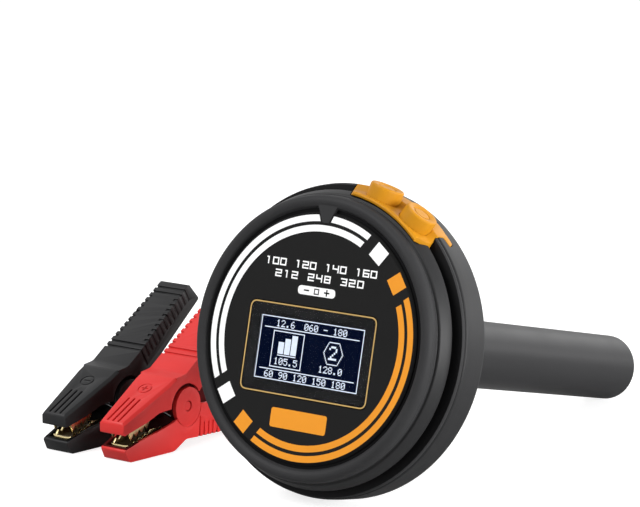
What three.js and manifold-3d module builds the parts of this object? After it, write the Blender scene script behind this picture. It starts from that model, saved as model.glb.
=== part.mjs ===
// Coolant boiling point tester: a round head with a screen and two keys, its immersion tube and two battery clamps.
// It lies on the rear rim of its head and on the end of its tube, with both clamps on the floor at its left.
// Millimetres, +X to the right along the face, +Y back, +Z up.
import * as THREE from "three";
import { mergeVertices } from "three/addons/utils/BufferGeometryUtils.js";
import Module from "manifold-3d";

const wasm = await Module();
wasm.setup();

// Clearances and counts
const gap = 0.3;
const overrun = 6;
const weldDistance = 0.0001;
const headSides = 60;
const tubeSides = 36;
const discSides = 24;
const smallSides = 16;
const tinySides = 10;
const roundSteps = 2;

// Head: radii about the tube's axis and depths behind the printed face; the band leads the other radii
const band = { radius: 48.2, start: 12.5, end: 22.8, edge: 0.6, wall: 2.3, innerStart: 15.8 };
const stepIn = {
  bead: 0.5, ring: 2.6, waist: 4.6, bezel: 4.9, neck: 5.8, wall: 7.2, bore: 7.6, board: 9.6, face: 9.8,
  boss: 12.9, gland: 18.2, panelRear: 1.2, panelDip: 1.9, panelFoot: 2.7, panelMiddle: 2.3, panelFront: 3.45,
  keyBase: 2.7, pocket: 4, keyStem: 6.9,
};
const inBand = (step) => band.radius - step;
const bezel = { radius: inBand(stepIn.bezel), proud: 0.6, round: 1.9, waist: inBand(stepIn.waist), waistDepth: 2.9 };
const ring = { radius: inBand(stepIn.ring), start: 4.9, full: 5.7, roundStart: 7.5, end: 8.4, edge: 0.8 };
const neck = { radius: inBand(stepIn.neck), bore: inBand(stepIn.bore), start: 5, grooveEnd: 10.7 };
const bead = { radius: inBand(stepIn.bead), width: 1.2, slit: 0.35, round: 0.5 };
const back = { inset: 1.3, centreDepth: 25.4, hubRadius: 16.5, thickness: 2.5 };
const hub = { radius: 15.2, end: 34.3, edge: 0.9, innerEnd: 19 };
const wallFront = { thickness: 1.8, innerRadius: inBand(stepIn.wall) };

// Face, window and display, which is set below the middle
const face = { radius: inBand(stepIn.face), thickness: 0.5, margin: 0.35 };
const key = { halfWidth: 3.3, tipHalfWidth: 2.1, length: 3.5, proud: 0.35, clearance: 0.25 };
const display = { width: 38.4, height: 19.4, centre: -4.6, border: 2, depth: 3.2, flange: 1.2, flangeRim: 3.8 };
const windowPane = { width: 47.2, height: 27.5, corner: 2.3 };
const foam = { thickness: 0.8, overlap: 3 };

// Boards and what they carry
const board = { radius: inBand(stepIn.board), depth: 9.5, thickness: 1.6 };
const boss = { circle: inBand(stepIn.boss), radius: 3.2, rearRadius: 4.4, angles: [34, 146, 245, 295] };
const screw = { radius: 1.45, head: 3, headHeight: 2.5, tip: 4.6, headDepth: 20.9, pilot: 3.4 };
const terminal = { width: 10, height: 8, depth: 5 };
const buzzer = { radius: 6, height: 6.5, angle: 118, clearance: 1.2, hole: 1 };
const heaterSwitch = { width: 10, height: 15, thickness: 4.5, tab: 1.3, x: 21, z: -8 };

// Keys, their panel and their switches; angles are measured up from +X about the tube's axis
const keys = { radius: 5.3, proud: 2.4, stem: 1.9, depth: 9.2, round: 0.9, dish: 0.35 };
const keyHeights = {
  top: band.radius + keys.proud, base: inBand(stepIn.keyBase), stemEnd: inBand(stepIn.keyStem),
  pocket: inBand(stepIn.pocket),
};
const keyDishShare = 0.62;
const keyAngles = { leftAngle: 73.4, rightAngle: 56.2 };
const keyNames = { button_left: keyAngles.leftAngle, button_right: keyAngles.rightAngle };
const keyTravel = 1;
const panel = { foot: 3.1, dipEnd: 9.3, riseEnd: 12, middleEnd: 13.4, rear: 18.6, edge: 0.45 };
const panelAngles = { middleAngle: 64, leftAngle: 89.7, rightAngle: 42.8 };
const panelRadii = {
  front: inBand(stepIn.panelFront), middle: inBand(stepIn.panelMiddle), rear: inBand(stepIn.panelRear),
  foot: inBand(stepIn.panelFoot), dip: inBand(stepIn.panelDip),
};
const buttonBoard = { thickness: 1.6, margin: 0.2, start: 3.6, length: 11.6 };
const tactSwitch = { width: 6, body: 3.3, plunger: 1.5, plungerHeight: 1 };

// Outline of the key panel, as shares of its depth from the front and of its way round from the right
const panelOutlineShares = [
  [0, 0.829], [0.614, 1], [1, 1], [1, 0.26], [0.956, 0.14], [0.949, 0.024], [0.81, 0], [0.785, 0.091],
  [0.52, 0.091], [0.456, 0.065], [0.329, 0.065], [0.095, 0.116], [0, 0.125],
];

// Immersion tube, its seal and nut, and the probe inside
const tube = { radius: 11, wall: 1.2, start: 15.6, end: 177.8, edge: 0.5, flange: 13.4, flangeLength: 2.4 };
const seal = { width: 1.4, length: 2.4 };
const nut = { corner: 15.8, length: 2.1 };
const holder = { start: 126, length: 12, socket: 10, groove: 1, grooveWidth: 2 };
const heater = { radius: 3, reach: 30, offset: -3.2 };
const sensor = { radius: 1.5, reach: 26, offset: 4.6 };
const leads = { radius: 2 };
const gasket = { depth: 6, width: 1.6, recess: 0.8 };

// Gland of the supply lead on the back
const gland = { radius: inBand(stepIn.gland), angle: 200, neck: 4, flange: 6, flangeThickness: 1.6 };
const glandCap = { radius: 5.6, length: 1.8 };
const glandSleeve = { radius: 4.6, tipRadius: 3.5, length: 10, bore: 2.3, ribs: 3, ribDepth: 0.5 };

// Clamps: along the clamp from its tip, across it, and up from the floor
const clamp = { length: 68.2, height: 46.2, width: 15.2, tipWidth: 9.9, endWidth: 11.2, wall: 1 };
const clampPlaces = { red: { x: -81.8, y: 3.7 }, black: { x: -104, y: 0.9 } };
const widestShares = [0.3, 0.505];
const pivot = { along: 29.5, height: 13.6, pin: 1.5, ear: 6.3, pocket: 7.7, pocketShift: 0.9 };
const ears = { outer: 1.5, innerFace: 4.4, inner: 1.4, innerRadius: 5.9 };
const shellRound = 0.9;
const jaw = { halfWidth: 3.95, wall: 0.8, start: 2.8, end: 20.3, floor: 3.8, round: 2.7, roofRound: 1.5 };
const teeth = { count: 4, pitch: 2.7, first: 4.8, upper: 1.9, lower: 1, tipGap: 0.35, midHeight: 6.05, slope: 0.28 };
const jawNose = { width: 1.1, top: 5.4, strip: 8.3, upperTop: 9.2, upperRear: 15.3 };
const rivet = { head: 1.9, headHeight: 0.8, shank: 1.2, along: 17.5, blind: 1.9 };
const coil = { radius: 3.2, wire: 0.4, halfWidth: 3.1, turns: 3, steps: 8, sides: 5, legEnd: 38.5 };
const grip = { pitch: 2.45, count: 13, slot: 1, depth: 0.5, height: 4.6, start: 34.6, longHeight: 6.8 };
const jawGrooves = { count: 3, width: 0.6, depth: 0.5, start: 0.6, length: 12.3, spacing: 2.2 };
const leadHole = { radius: 1.8, height: 3.9 };

// Outlines of the clamp halves seen from the side, as shares of the clamp's length and height
const upperOutlineShares = [
  [0, 0.193], [0, 0.286], [0.343, 0.519], [0.416, 0.53], [0.5, 0.607], [0.915, 1], [1, 0.874],
  [0.565, 0.431], [0.525, 0.387], [0.4326, 0.2944], [0.299, 0.3095], [0.227, 0.301], [0.15, 0.254],
];
const upperHollowShares = [
  [0.027, 0.08], [0.027, 0.251], [0.315, 0.446], [0.35, 0.479], [0.425, 0.49], [0.911, 0.95],
  [0.99, 0.833], [0.59, 0.26],
];
const lowerOutlineShares = [
  [0.003, 0.09], [0.035, 0], [0.328, 0], [0.415, 0.061], [0.933, 0], [0.988, 0.143], [0.6, 0.275],
  [0.531, 0.29], [0.306, 0.2035], [0.229, 0.174], [0.103, 0.133],
];
const lowerHollowShares = [
  [-0.02, 0.42], [-0.02, 0.1], [0.032, 0.1], [0.032, 0.089], [0.038, 0.076], [0.32, 0.076], [0.41, 0.1],
  [0.916, 0.041], [0.971, 0.178], [0.971, 0.42],
];

// Colours and finishes
const blackPlastic = new THREE.MeshStandardMaterial({ color: 0x2e2f31, roughness: 0.5, metalness: 0 });
const facePrint = new THREE.MeshStandardMaterial({ color: 0x262626, roughness: 0.55, metalness: 0 });
const clearPlastic = new THREE.MeshStandardMaterial({ color: 0x0a1230, roughness: 0.1, metalness: 0 });
const orangePlastic = new THREE.MeshStandardMaterial({ color: 0xf5a01e, roughness: 0.5, metalness: 0 });
const redPlastic = new THREE.MeshStandardMaterial({ color: 0xd5302c, roughness: 0.45, metalness: 0 });
const clampBlack = new THREE.MeshStandardMaterial({ color: 0x3a3a3b, roughness: 0.5, metalness: 0 });
const brass = new THREE.MeshStandardMaterial({ color: 0xc9ae6a, roughness: 0.35, metalness: 1 });
const steel = new THREE.MeshStandardMaterial({ color: 0xb9bcc0, roughness: 0.35, metalness: 1 });
const rubber = new THREE.MeshStandardMaterial({ color: 0x1b1b1c, roughness: 0.85, metalness: 0 });
const circuitGreen = new THREE.MeshStandardMaterial({ color: 0x1d5a34, roughness: 0.5, metalness: 0 });
const greyPlastic = new THREE.MeshStandardMaterial({ color: 0x8b8f94, roughness: 0.6, metalness: 0 });

const radians = THREE.MathUtils.degToRad;
const point = (x, y) => new THREE.Vector2(x, y);

// Turns a closed three.js geometry into a solid whose faces point out
function toSolid(geometry) {
  const bare = geometry.clone();
  bare.deleteAttribute("normal");
  bare.deleteAttribute("uv");
  const merged = mergeVertices(bare, weldDistance);
  const corners = merged.attributes.position.array;
  const index = merged.index.array;
  const triangles = [];
  let volume = 0;
  const a = new THREE.Vector3();
  const b = new THREE.Vector3();
  const c = new THREE.Vector3();
  for (let i = 0; i < index.length; i += 3) {
    const [p, q, r] = [index[i], index[i + 1], index[i + 2]];
    if (p === q || q === r || r === p) continue;
    triangles.push(p, q, r);
    a.fromArray(corners, p * 3);
    b.fromArray(corners, q * 3);
    c.fromArray(corners, r * 3);
    volume += a.dot(b.cross(c));
  }
  if (volume < 0) triangles.reverse();
  const mesh = new wasm.Mesh({
    numProp: 3,
    vertProperties: new Float32Array(corners),
    triVerts: new Uint32Array(triangles),
  });
  return new wasm.Manifold(mesh);
}

function toMesh(name, solid, material) {
  const result = solid.getMesh();
  const geometry = new THREE.BufferGeometry();
  geometry.setAttribute("position", new THREE.BufferAttribute(new Float32Array(result.vertProperties), 3));
  geometry.setIndex(new THREE.BufferAttribute(new Uint32Array(result.triVerts), 1));
  geometry.computeVertexNormals();
  const mesh = new THREE.Mesh(geometry, material);
  mesh.name = name;
  return mesh;
}

// Joins a list of solids
function joined(solids) {
  return solids.reduce((whole, solid) => whole.add(solid));
}

// Cuts a list of solids out of one
function without(solid, cutters) {
  return cutters.reduce((whole, cutter) => whole.subtract(cutter), solid);
}

// Outline with each corner replaced by a short curve
function rounded(points, radius) {
  const outline = [];
  points.forEach((corner, i) => {
    const before = points.at(i - 1);
    const after = points[(i + 1) % points.length];
    const start = corner.clone().lerp(before, Math.min(0.45, radius / corner.distanceTo(before)));
    const end = corner.clone().lerp(after, Math.min(0.45, radius / corner.distanceTo(after)));
    const curve = new THREE.QuadraticBezierCurve(start, corner, end);
    outline.push(...curve.getPoints(roundSteps));
  });
  return outline;
}

// Outline moved outwards by a distance, or inwards by a negative one
function grown(points, distance) {
  const turn = Math.sign(THREE.ShapeUtils.area(points));
  return points.map((corner, i) => {
    const before = corner.clone().sub(points.at(i - 1)).normalize();
    const after = points[(i + 1) % points.length].clone().sub(corner).normalize();
    const normal = point(before.y + after.y, -before.x - after.x).multiplyScalar(turn).normalize();
    const lean = Math.max(0.5, Math.abs(normal.x * after.y - normal.y * after.x));
    return corner.clone().addScaledVector(normal, distance / lean);
  });
}

function rectangle(width, height, centreX, centreY) {
  return [[-1, -1], [1, -1], [1, 1], [-1, 1]].map(([x, y]) => {
    return point(centreX + (x * width) / 2, centreY + (y * height) / 2);
  });
}

function circle(radius, centreX, centreY, sides) {
  return Array.from({ length: sides }, (_, i) => {
    const angle = ((i + 0.5) / sides) * 2 * Math.PI;
    return point(centreX + radius * Math.cos(angle), centreY + radius * Math.sin(angle));
  });
}

// Outline pushed along an axis; it is drawn in Y and Z for axis x, X and Z for y, X and Y for z
const prismBases = {
  x: [[0, 1, 0], [0, 0, 1], [1, 0, 0]],
  y: [[1, 0, 0], [0, 0, 1], [0, 1, 0]],
  z: [[1, 0, 0], [0, 1, 0], [0, 0, 1]],
};
function prismGeometry(outline, from, to, axis) {
  const geometry = new THREE.ExtrudeGeometry(new THREE.Shape(outline), { depth: to - from, bevelEnabled: false });
  geometry.translate(0, 0, from);
  const columns = prismBases[axis].map((column) => new THREE.Vector3(...column));
  return geometry.applyMatrix4(new THREE.Matrix4().makeBasis(...columns));
}
function prism(outline, from, to, axis) {
  return toSolid(prismGeometry(outline, from, to, axis));
}

// Outline of radius and depth turned about the tube's axis, with a flat of its many sides at the bottom
function turned(outline, sides) {
  const geometry = new THREE.LatheGeometry([...outline, outline[0]], sides, Math.PI / sides);
  return toSolid(geometry);
}

// Outline of radius and height turned about the vertical of a place on the rim
function turnedUp(outline, sides, matrix) {
  const geometry = new THREE.LatheGeometry([...outline, outline[0]], sides, Math.PI / sides);
  return toSolid(geometry.rotateX(Math.PI / 2).applyMatrix4(matrix));
}

// Rod along the tube's axis direction
function rod(radius, x, z, from, to, sides) {
  return prism(circle(radius, x, z, sides), from, to, "y");
}

// Frame of a place on the rim: its X runs back, its Y round the rim, its Z outwards
function rimFrame(angle, depth) {
  const [cos, sin] = [Math.cos(radians(angle)), Math.sin(radians(angle))];
  const columns = [[0, 1, 0], [-sin, 0, cos], [cos, 0, sin]].map((column) => new THREE.Vector3(...column));
  return new THREE.Matrix4().makeBasis(...columns).setPosition(0, depth, 0);
}

function arcPoints(centreX, centreY, radius, from, to) {
  return Array.from({ length: roundSteps + 1 }, (_, i) => {
    const angle = radians(from + ((to - from) * i) / roundSteps);
    return point(centreX + radius * Math.cos(angle), centreY + radius * Math.sin(angle));
  });
}

const bossPlaces = boss.angles.map((angle) => {
  return point(boss.circle * Math.cos(radians(angle)), boss.circle * Math.sin(radians(angle)));
});
const faceSeat = face.thickness + gap;
const wallBack = faceSeat + wallFront.thickness;
const boardBack = board.depth + board.thickness;
const moduleFront = faceSeat;
const flangeFront = moduleFront + display.depth;
const buzzerDistance = nut.corner + buzzer.clearance + buzzer.radius;
const buzzerPlace = point(
  buzzerDistance * Math.cos(radians(buzzer.angle)),
  buzzerDistance * Math.sin(radians(buzzer.angle)),
);
const glandPlace = point(
  gland.radius * Math.cos(radians(gland.angle)),
  gland.radius * Math.sin(radians(gland.angle)),
);

// Depth of the outside of the rear wall, which is a shallow cone
function backDepth(radius) {
  const rim = band.end + band.edge;
  return rim + ((back.centreDepth - rim) * (band.radius - radius)) / (band.radius - back.hubRadius);
}

// The keys lean away from each other, so the switches lie under their stems and clear of their full travel
const keyLean = radians((keyAngles.leftAngle - keyAngles.rightAngle) / 2);
const keyMiddle = (keyAngles.leftAngle + keyAngles.rightAngle) / 2;
const pressedEnd = keyHeights.stemEnd - keyTravel;
const switchOffset = pressedEnd * Math.sin(keyLean);
const plungerTop = pressedEnd * Math.cos(keyLean) - keys.stem * Math.sin(keyLean) - gap;
const buttonBoardTop = plungerTop - tactSwitch.plungerHeight - tactSwitch.body - gap;
const boardFlat = buttonBoardTop - buttonBoard.thickness - gap;

// Seen from above, the tab of the bezel that locates the face
function keyOutline(clearance) {
  const outer = face.radius + face.margin + (clearance > 0 ? overrun : gap);
  return [
    point(-key.halfWidth - clearance, outer),
    point(-key.halfWidth - clearance, face.radius - face.margin),
    point(-key.tipHalfWidth - clearance, face.radius - key.length - clearance),
    point(key.tipHalfWidth + clearance, face.radius - key.length - clearance),
    point(key.halfWidth + clearance, face.radius - face.margin),
    point(key.halfWidth + clearance, outer),
  ];
}

// Corners of the key panel: along its X back from the face, along its Y round the rim
function panelCorners() {
  const front = panel.foot - gap;
  return panelOutlineShares.map(([depthShare, turnShare]) => {
    const angle = THREE.MathUtils.lerp(panelAngles.rightAngle, panelAngles.leftAngle, turnShare);
    const across = panelRadii.rear * Math.sin(radians(angle - panelAngles.middleAngle));
    return point(THREE.MathUtils.lerp(front, panel.rear, depthShare), across);
  });
}

function keyCutter(radius, floor) {
  const { top } = keyHeights;
  return Object.values(keyAngles).map((angle) => {
    const outline = [point(0, floor), point(radius, floor), point(radius, top), point(0, top)];
    return turnedUp(outline, discSides, rimFrame(angle, keys.depth));
  });
}

function stemCutter() {
  return Object.values(keyAngles).map((angle) => {
    const [inner, outer] = [neck.bore - overrun, band.radius];
    const radius = keys.stem + gap;
    const outline = [point(0, inner), point(radius, inner), point(radius, outer), point(0, outer)];
    return turnedUp(outline, tinySides, rimFrame(angle, keys.depth));
  });
}

// Space that the panel takes out of the shells, down to a floor radius
function panelRecess(floor, from, to) {
  const outline = grown(panelCorners(), gap);
  const slab = prismGeometry(outline, neck.bore, band.radius + overrun, "z");
  const plug = toSolid(slab.applyMatrix4(rimFrame(panelAngles.middleAngle, 0)));
  const outer = band.radius + overrun;
  const space = turned([point(floor, from), point(floor, to), point(outer, to), point(outer, from)], headSides);
  return plug.intersect(space);
}

function makeFrontShell() {
  const seatRadius = face.radius + face.margin;
  const flat = bezel.radius - bezel.round;
  const outline = [
    point(0, faceSeat),
    point(seatRadius, faceSeat),
    point(seatRadius, -bezel.proud),
    ...arcPoints(flat, bezel.round - bezel.proud, bezel.round, -90, 0),
    point(bezel.waist, bezel.waistDepth),
    point((bezel.waist + ring.radius) / 2, (bezel.waistDepth + ring.start) / 2 - bead.slit),
    point(ring.radius - bead.slit, ring.start),
    point(ring.radius, ring.full),
    point(ring.radius, ring.roundStart),
    point(ring.radius - ring.edge, ring.end),
    point(neck.radius + gap, ring.end),
    point(neck.radius + gap, neck.start - gap),
    point(wallFront.innerRadius, neck.start - gap),
    point(wallFront.innerRadius, wallBack),
    point(0, wallBack),
  ];
  const shell = turned(outline, headSides);
  const bosses = bossPlaces.map(({ x, y }) => {
    return rod(boss.radius, x, y, wallBack - gap, board.depth - gap, smallSides);
  });
  const tab = prism(keyOutline(0), -key.proud, faceSeat + gap, "y");
  const pilots = bossPlaces.map(({ x, y }) => {
    return rod(screw.radius + gap, x, y, screw.tip - gap, board.depth + overrun, tinySides);
  });
  const moduleOpening = rectangle(
    display.width + 2 * display.border + 2 * gap,
    display.height + 2 * display.border + 2 * gap,
    0,
    display.centre,
  );
  const cutters = [
    ...pilots,
    prism(moduleOpening, -overrun, wallBack + gap, "y"),
    panelRecess(panelRadii.front - gap, 0, neck.grooveEnd),
    ...keyCutter(keys.radius + 2 * gap, keyHeights.pocket),
    ...stemCutter(),
  ];
  return without(joined([shell, tab, ...bosses]), cutters);
}

function makeFacePanel() {
  const disc = rod(face.radius, 0, 0, 0, face.thickness, headSides);
  const opening = rounded(
    rectangle(windowPane.width + 2 * gap, windowPane.height + 2 * gap, 0, display.centre),
    windowPane.corner,
  );
  return without(disc, [
    prism(opening, -overrun, overrun, "y"),
    prism(keyOutline(key.clearance), -overrun, overrun, "y"),
  ]);
}

function makeWindow() {
  const outline = rectangle(windowPane.width, windowPane.height, 0, display.centre);
  return prism(rounded(outline, windowPane.corner), 0, face.thickness, "y");
}

function makeDisplayModule() {
  const width = display.width + 2 * display.border;
  const height = display.height + 2 * display.border;
  const body = prism(rectangle(width, height, 0, display.centre), moduleFront, flangeFront + gap, "y");
  const rim = 2 * display.flangeRim;
  const flange = rectangle(width + rim, height + rim, 0, display.centre);
  return body.add(prism(flange, flangeFront, flangeFront + display.flange, "y"));
}

function makeDisplayGasket() {
  const width = display.width + 2 * display.border + 2 * gap;
  const height = display.height + 2 * display.border + 2 * gap;
  const outer = rectangle(width + 2 * foam.overlap, height + 2 * foam.overlap, 0, display.centre);
  const inner = rectangle(width, height, 0, display.centre);
  const start = (wallBack + flangeFront - foam.thickness) / 2;
  const frame = prism(outer, start, start + foam.thickness, "y");
  return frame.subtract(prism(inner, wallBack - overrun, flangeFront + overrun, "y"));
}

function makeMainBoard() {
  const disc = rod(board.radius, 0, 0, board.depth, boardBack, tubeSides);
  const holes = bossPlaces.map(({ x, y }) => {
    return rod(screw.radius + gap, x, y, board.depth - overrun, boardBack + overrun, tinySides);
  });
  const beyond = rectangle(overrun * 4, board.radius * 2, board.depth, 0);
  const chord = toSolid(prismGeometry(beyond, boardFlat, board.radius + overrun, "z")
    .applyMatrix4(rimFrame(keyMiddle, 0)));
  return without(disc, [chord, ...holes]);
}

function makeButtonBoard() {
  const centre = buttonBoard.start + buttonBoard.length / 2;
  const width = 2 * (switchOffset + buttonBoard.margin) + tactSwitch.width;
  const outline = rectangle(buttonBoard.length, width, centre, 0);
  const from = buttonBoardTop - buttonBoard.thickness;
  return toSolid(prismGeometry(outline, from, buttonBoardTop, "z").applyMatrix4(rimFrame(keyMiddle, 0)));
}

function makeTactSwitch(side) {
  const across = side * switchOffset;
  const base = buttonBoardTop + gap;
  const body = rectangle(tactSwitch.width, tactSwitch.width, keys.depth, across);
  const plunger = circle(tactSwitch.plunger, keys.depth, across, tinySides);
  const frame = rimFrame(keyMiddle, 0);
  return joined([
    toSolid(prismGeometry(body, base, base + tactSwitch.body, "z").applyMatrix4(frame)),
    toSolid(prismGeometry(plunger, base + gap, plungerTop, "z").applyMatrix4(frame)),
  ]);
}

function makeButtonPanel() {
  const innerEnd = neck.grooveEnd - gap;
  const outline = [
    point(panelRadii.front, panel.foot + gap),
    point(panelRadii.foot, panel.foot),
    point(panelRadii.foot + panel.edge, panel.foot + panel.edge),
    point(panelRadii.dip, panel.dipEnd),
    point(band.radius - panel.edge, panel.riseEnd - panel.edge),
    point(band.radius, panel.riseEnd),
    point(band.radius, panel.rear),
    point(panelRadii.rear, panel.rear),
    point(panelRadii.rear, panel.middleEnd),
    point(panelRadii.middle, panel.middleEnd),
    point(panelRadii.middle, innerEnd),
    point(panelRadii.front, innerEnd),
  ];
  const slab = prismGeometry(rounded(panelCorners(), keys.round), neck.bore, band.radius + overrun, "z");
  const plug = toSolid(slab.applyMatrix4(rimFrame(panelAngles.middleAngle, 0)));
  return without(turned(outline, headSides).intersect(plug), keyCutter(keys.radius + gap, neck.bore));
}

// A key stands on its own axis, so it is made about that axis and placed by its frame
function makeKey() {
  const { top, base, stemEnd } = keyHeights;
  const dishRadius = keys.radius * keyDishShare;
  const outline = [
    point(0, stemEnd),
    point(keys.stem, stemEnd),
    point(keys.stem, base),
    point(keys.radius, base),
    ...arcPoints(keys.radius - keys.round, top - keys.round, keys.round, 0, 90),
    point(dishRadius, top),
    point(dishRadius / 2, top - keys.dish),
    point(0, top - keys.dish),
  ];
  return turnedUp(outline, discSides, new THREE.Matrix4());
}

// The hub holds the tube: its seal sits at the back of it and its nut bears on its front
function makeHub() {
  const sealStart = hub.end - seal.length - 2 * gap;
  const sealRadius = tube.radius + seal.width + 2 * gap;
  return turned([
    point(tube.radius + gap, hub.innerEnd),
    point(hub.radius, hub.innerEnd),
    point(hub.radius, hub.end - hub.edge),
    point(hub.radius - hub.edge, hub.end),
    point(sealRadius, hub.end),
    point(sealRadius, sealStart),
    point(tube.radius + gap, sealStart),
  ], tubeSides);
}

function makeRearShell() {
  const inner = band.radius - band.wall;
  const hubWall = (hub.radius + tube.radius) / 2 + gap;
  const outline = [
    point(neck.bore, neck.start),
    point(neck.radius, neck.start),
    point(neck.radius, gasket.depth),
    point(neck.radius - gasket.recess, gasket.depth),
    point(neck.radius - gasket.recess, gasket.depth + gasket.width),
    point(neck.radius, gasket.depth + gasket.width),
    point(neck.radius, neck.grooveEnd),
    point(bead.radius - bead.round, neck.grooveEnd),
    point(bead.radius, neck.grooveEnd + bead.round),
    point(bead.radius, neck.grooveEnd + bead.width),
    point(bead.radius - bead.slit, neck.grooveEnd + bead.width + gap),
    point(band.radius, band.start),
    point(band.radius, band.end),
    point(band.radius - band.edge, band.end + band.edge),
    point(band.radius - back.inset, backDepth(band.radius - back.inset)),
    point(back.hubRadius, back.centreDepth),
    point(hub.radius - gap, back.centreDepth + hub.edge),
    point(hubWall, back.centreDepth + hub.edge),
    point(hubWall, backDepth(hub.radius) - back.thickness),
    point(inner - back.inset, backDepth(inner) - back.thickness),
    point(inner, backDepth(inner) - back.thickness - back.inset),
    point(inner, band.innerStart),
    point(neck.bore, band.innerStart),
  ];
  const bosses = bossPlaces.map(({ x, y }) => {
    return rod(boss.rearRadius, x, y, boardBack + gap, back.centreDepth - back.thickness, smallSides);
  });
  const counterbores = bossPlaces.flatMap(({ x, y }) => [
    rod(screw.radius + gap, x, y, boardBack - overrun, back.centreDepth + overrun, tinySides),
    rod(screw.head + gap, x, y, screw.headDepth - gap, back.centreDepth + overrun, smallSides),
  ]);
  const { x, y } = glandPlace;
  return without(joined([turned(outline, headSides), makeHub(), ...bosses]), [
    ...counterbores,
    rod(gland.neck + gap, x, y, band.innerStart + gap, back.centreDepth + overrun, smallSides),
    panelRecess(panelRadii.middle - gap, neck.grooveEnd - gap, panel.middleEnd + gap),
    panelRecess(panelRadii.rear - gap, neck.grooveEnd - gap, back.centreDepth),
    ...keyCutter(keys.radius + 2 * gap, keyHeights.pocket),
    ...stemCutter(),
  ]);
}

function makeScrew() {
  const neckDepth = screw.headDepth;
  const outline = [
    point(0, screw.tip),
    point(screw.radius, screw.tip + screw.radius),
    point(screw.radius, neckDepth),
    point(screw.head, neckDepth),
    point(screw.head, neckDepth + screw.headHeight),
    point(0, neckDepth + screw.headHeight),
  ];
  return turned(outline, tinySides);
}

function makeGasket() {
  const floor = neck.radius - gasket.recess + gap;
  const roof = neck.radius;
  const [from, to] = [gasket.depth + gap, gasket.depth + gasket.width - gap];
  return turned([point(floor, from), point(roof, from), point(roof, to), point(floor, to)], tubeSides);
}

function makeTube() {
  const bore = tube.radius - tube.wall;
  const flangeStart = hub.end + gap;
  const flangeEnd = flangeStart + tube.flangeLength;
  return turned([
    point(bore, tube.start),
    point(tube.radius, tube.start),
    point(tube.radius, flangeStart),
    point(tube.flange, flangeStart),
    point(tube.flange, flangeEnd - tube.edge),
    point(tube.flange - tube.edge, flangeEnd),
    point(tube.radius, flangeEnd),
    point(tube.radius, tube.end - tube.edge),
    point(tube.radius - tube.edge, tube.end),
    point(bore, tube.end),
  ], tubeSides);
}

function makeTubeSeal() {
  const [from, to] = [hub.end - seal.length - gap, hub.end - gap];
  const [inner, outer] = [tube.radius + gap, tube.radius + gap + seal.width];
  return turned([point(inner, from), point(outer, from), point(outer, to), point(inner, to)], tubeSides);
}

function makeTubeNut() {
  const end = hub.innerEnd - gap;
  const hexagon = prism(circle(nut.corner, 0, 0, 6), end - nut.length, end, "y");
  return hexagon.subtract(rod(tube.radius + gap, 0, 0, 0, end + overrun, tubeSides));
}

function makeProbeHolder() {
  const radius = tube.radius - tube.wall - gap;
  const end = holder.start + holder.length;
  const middle = (holder.start + end) / 2;
  const socketStart = end - holder.socket;
  const body = turned([
    point(0, holder.start),
    point(radius, holder.start),
    point(radius, middle - holder.grooveWidth),
    point(radius - holder.groove, middle - holder.grooveWidth),
    point(radius - holder.groove, middle + holder.grooveWidth),
    point(radius, middle + holder.grooveWidth),
    point(radius, end),
    point(0, end),
  ], smallSides);
  return without(body, [
    rod(heater.radius + gap, 0, heater.offset, socketStart, end + overrun, tinySides),
    rod(sensor.radius + gap, 0, sensor.offset, socketStart, end + overrun, tinySides),
  ]);
}

// Closed metal sheath with a domed tip that stands out of its holder
function makeSheath({ radius, reach }) {
  const holderEnd = holder.start + holder.length;
  const start = holderEnd - holder.socket + gap;
  const end = holderEnd + reach;
  return turned([
    point(0, start),
    point(radius, start),
    ...arcPoints(0, end - radius, radius, 0, 90),
  ], smallSides);
}

function makeLeads() {
  const start = boardBack + gap + terminal.depth + gap;
  return rod(leads.radius, 0, 0, start, holder.start - gap, tinySides);
}

function makeTerminalBlock() {
  const start = boardBack + gap;
  const block = prism(rectangle(terminal.width, terminal.height, 0, 0), start, start + terminal.depth, "y");
  const slot = rectangle(terminal.width / 4, terminal.height / 2, 0, terminal.height / 2);
  const slots = [-1, 1].map((side) => {
    const moved = slot.map(({ x, y }) => point(x + (side * terminal.width) / 4, y));
    return prism(moved, start + terminal.depth / 2, start + terminal.depth + overrun, "y");
  });
  return without(block, slots);
}

function makeBuzzer() {
  const start = boardBack + gap;
  const { x, y } = buzzerPlace;
  const can = rod(buzzer.radius, x, y, start, start + buzzer.height, smallSides);
  const [from, to] = [start + buzzer.height / 2, start + buzzer.height + overrun];
  return can.subtract(rod(buzzer.hole, x, y, from, to, tinySides));
}

function makeHeaterSwitch() {
  const start = boardBack + gap;
  const { x, z, width, height } = heaterSwitch;
  const bodyCentre = z - height / 5;
  const body = rectangle(width, (height * 3) / 5, x, bodyCentre);
  const tab = rectangle(width, height, x, z);
  const hole = rod(heaterSwitch.tab, x, z + height / 3, start - overrun, start + overrun, tinySides);
  return joined([
    prism(body, start, start + heaterSwitch.thickness, "y"),
    prism(tab, start, start + heaterSwitch.tab, "y"),
  ]).subtract(hole);
}

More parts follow.
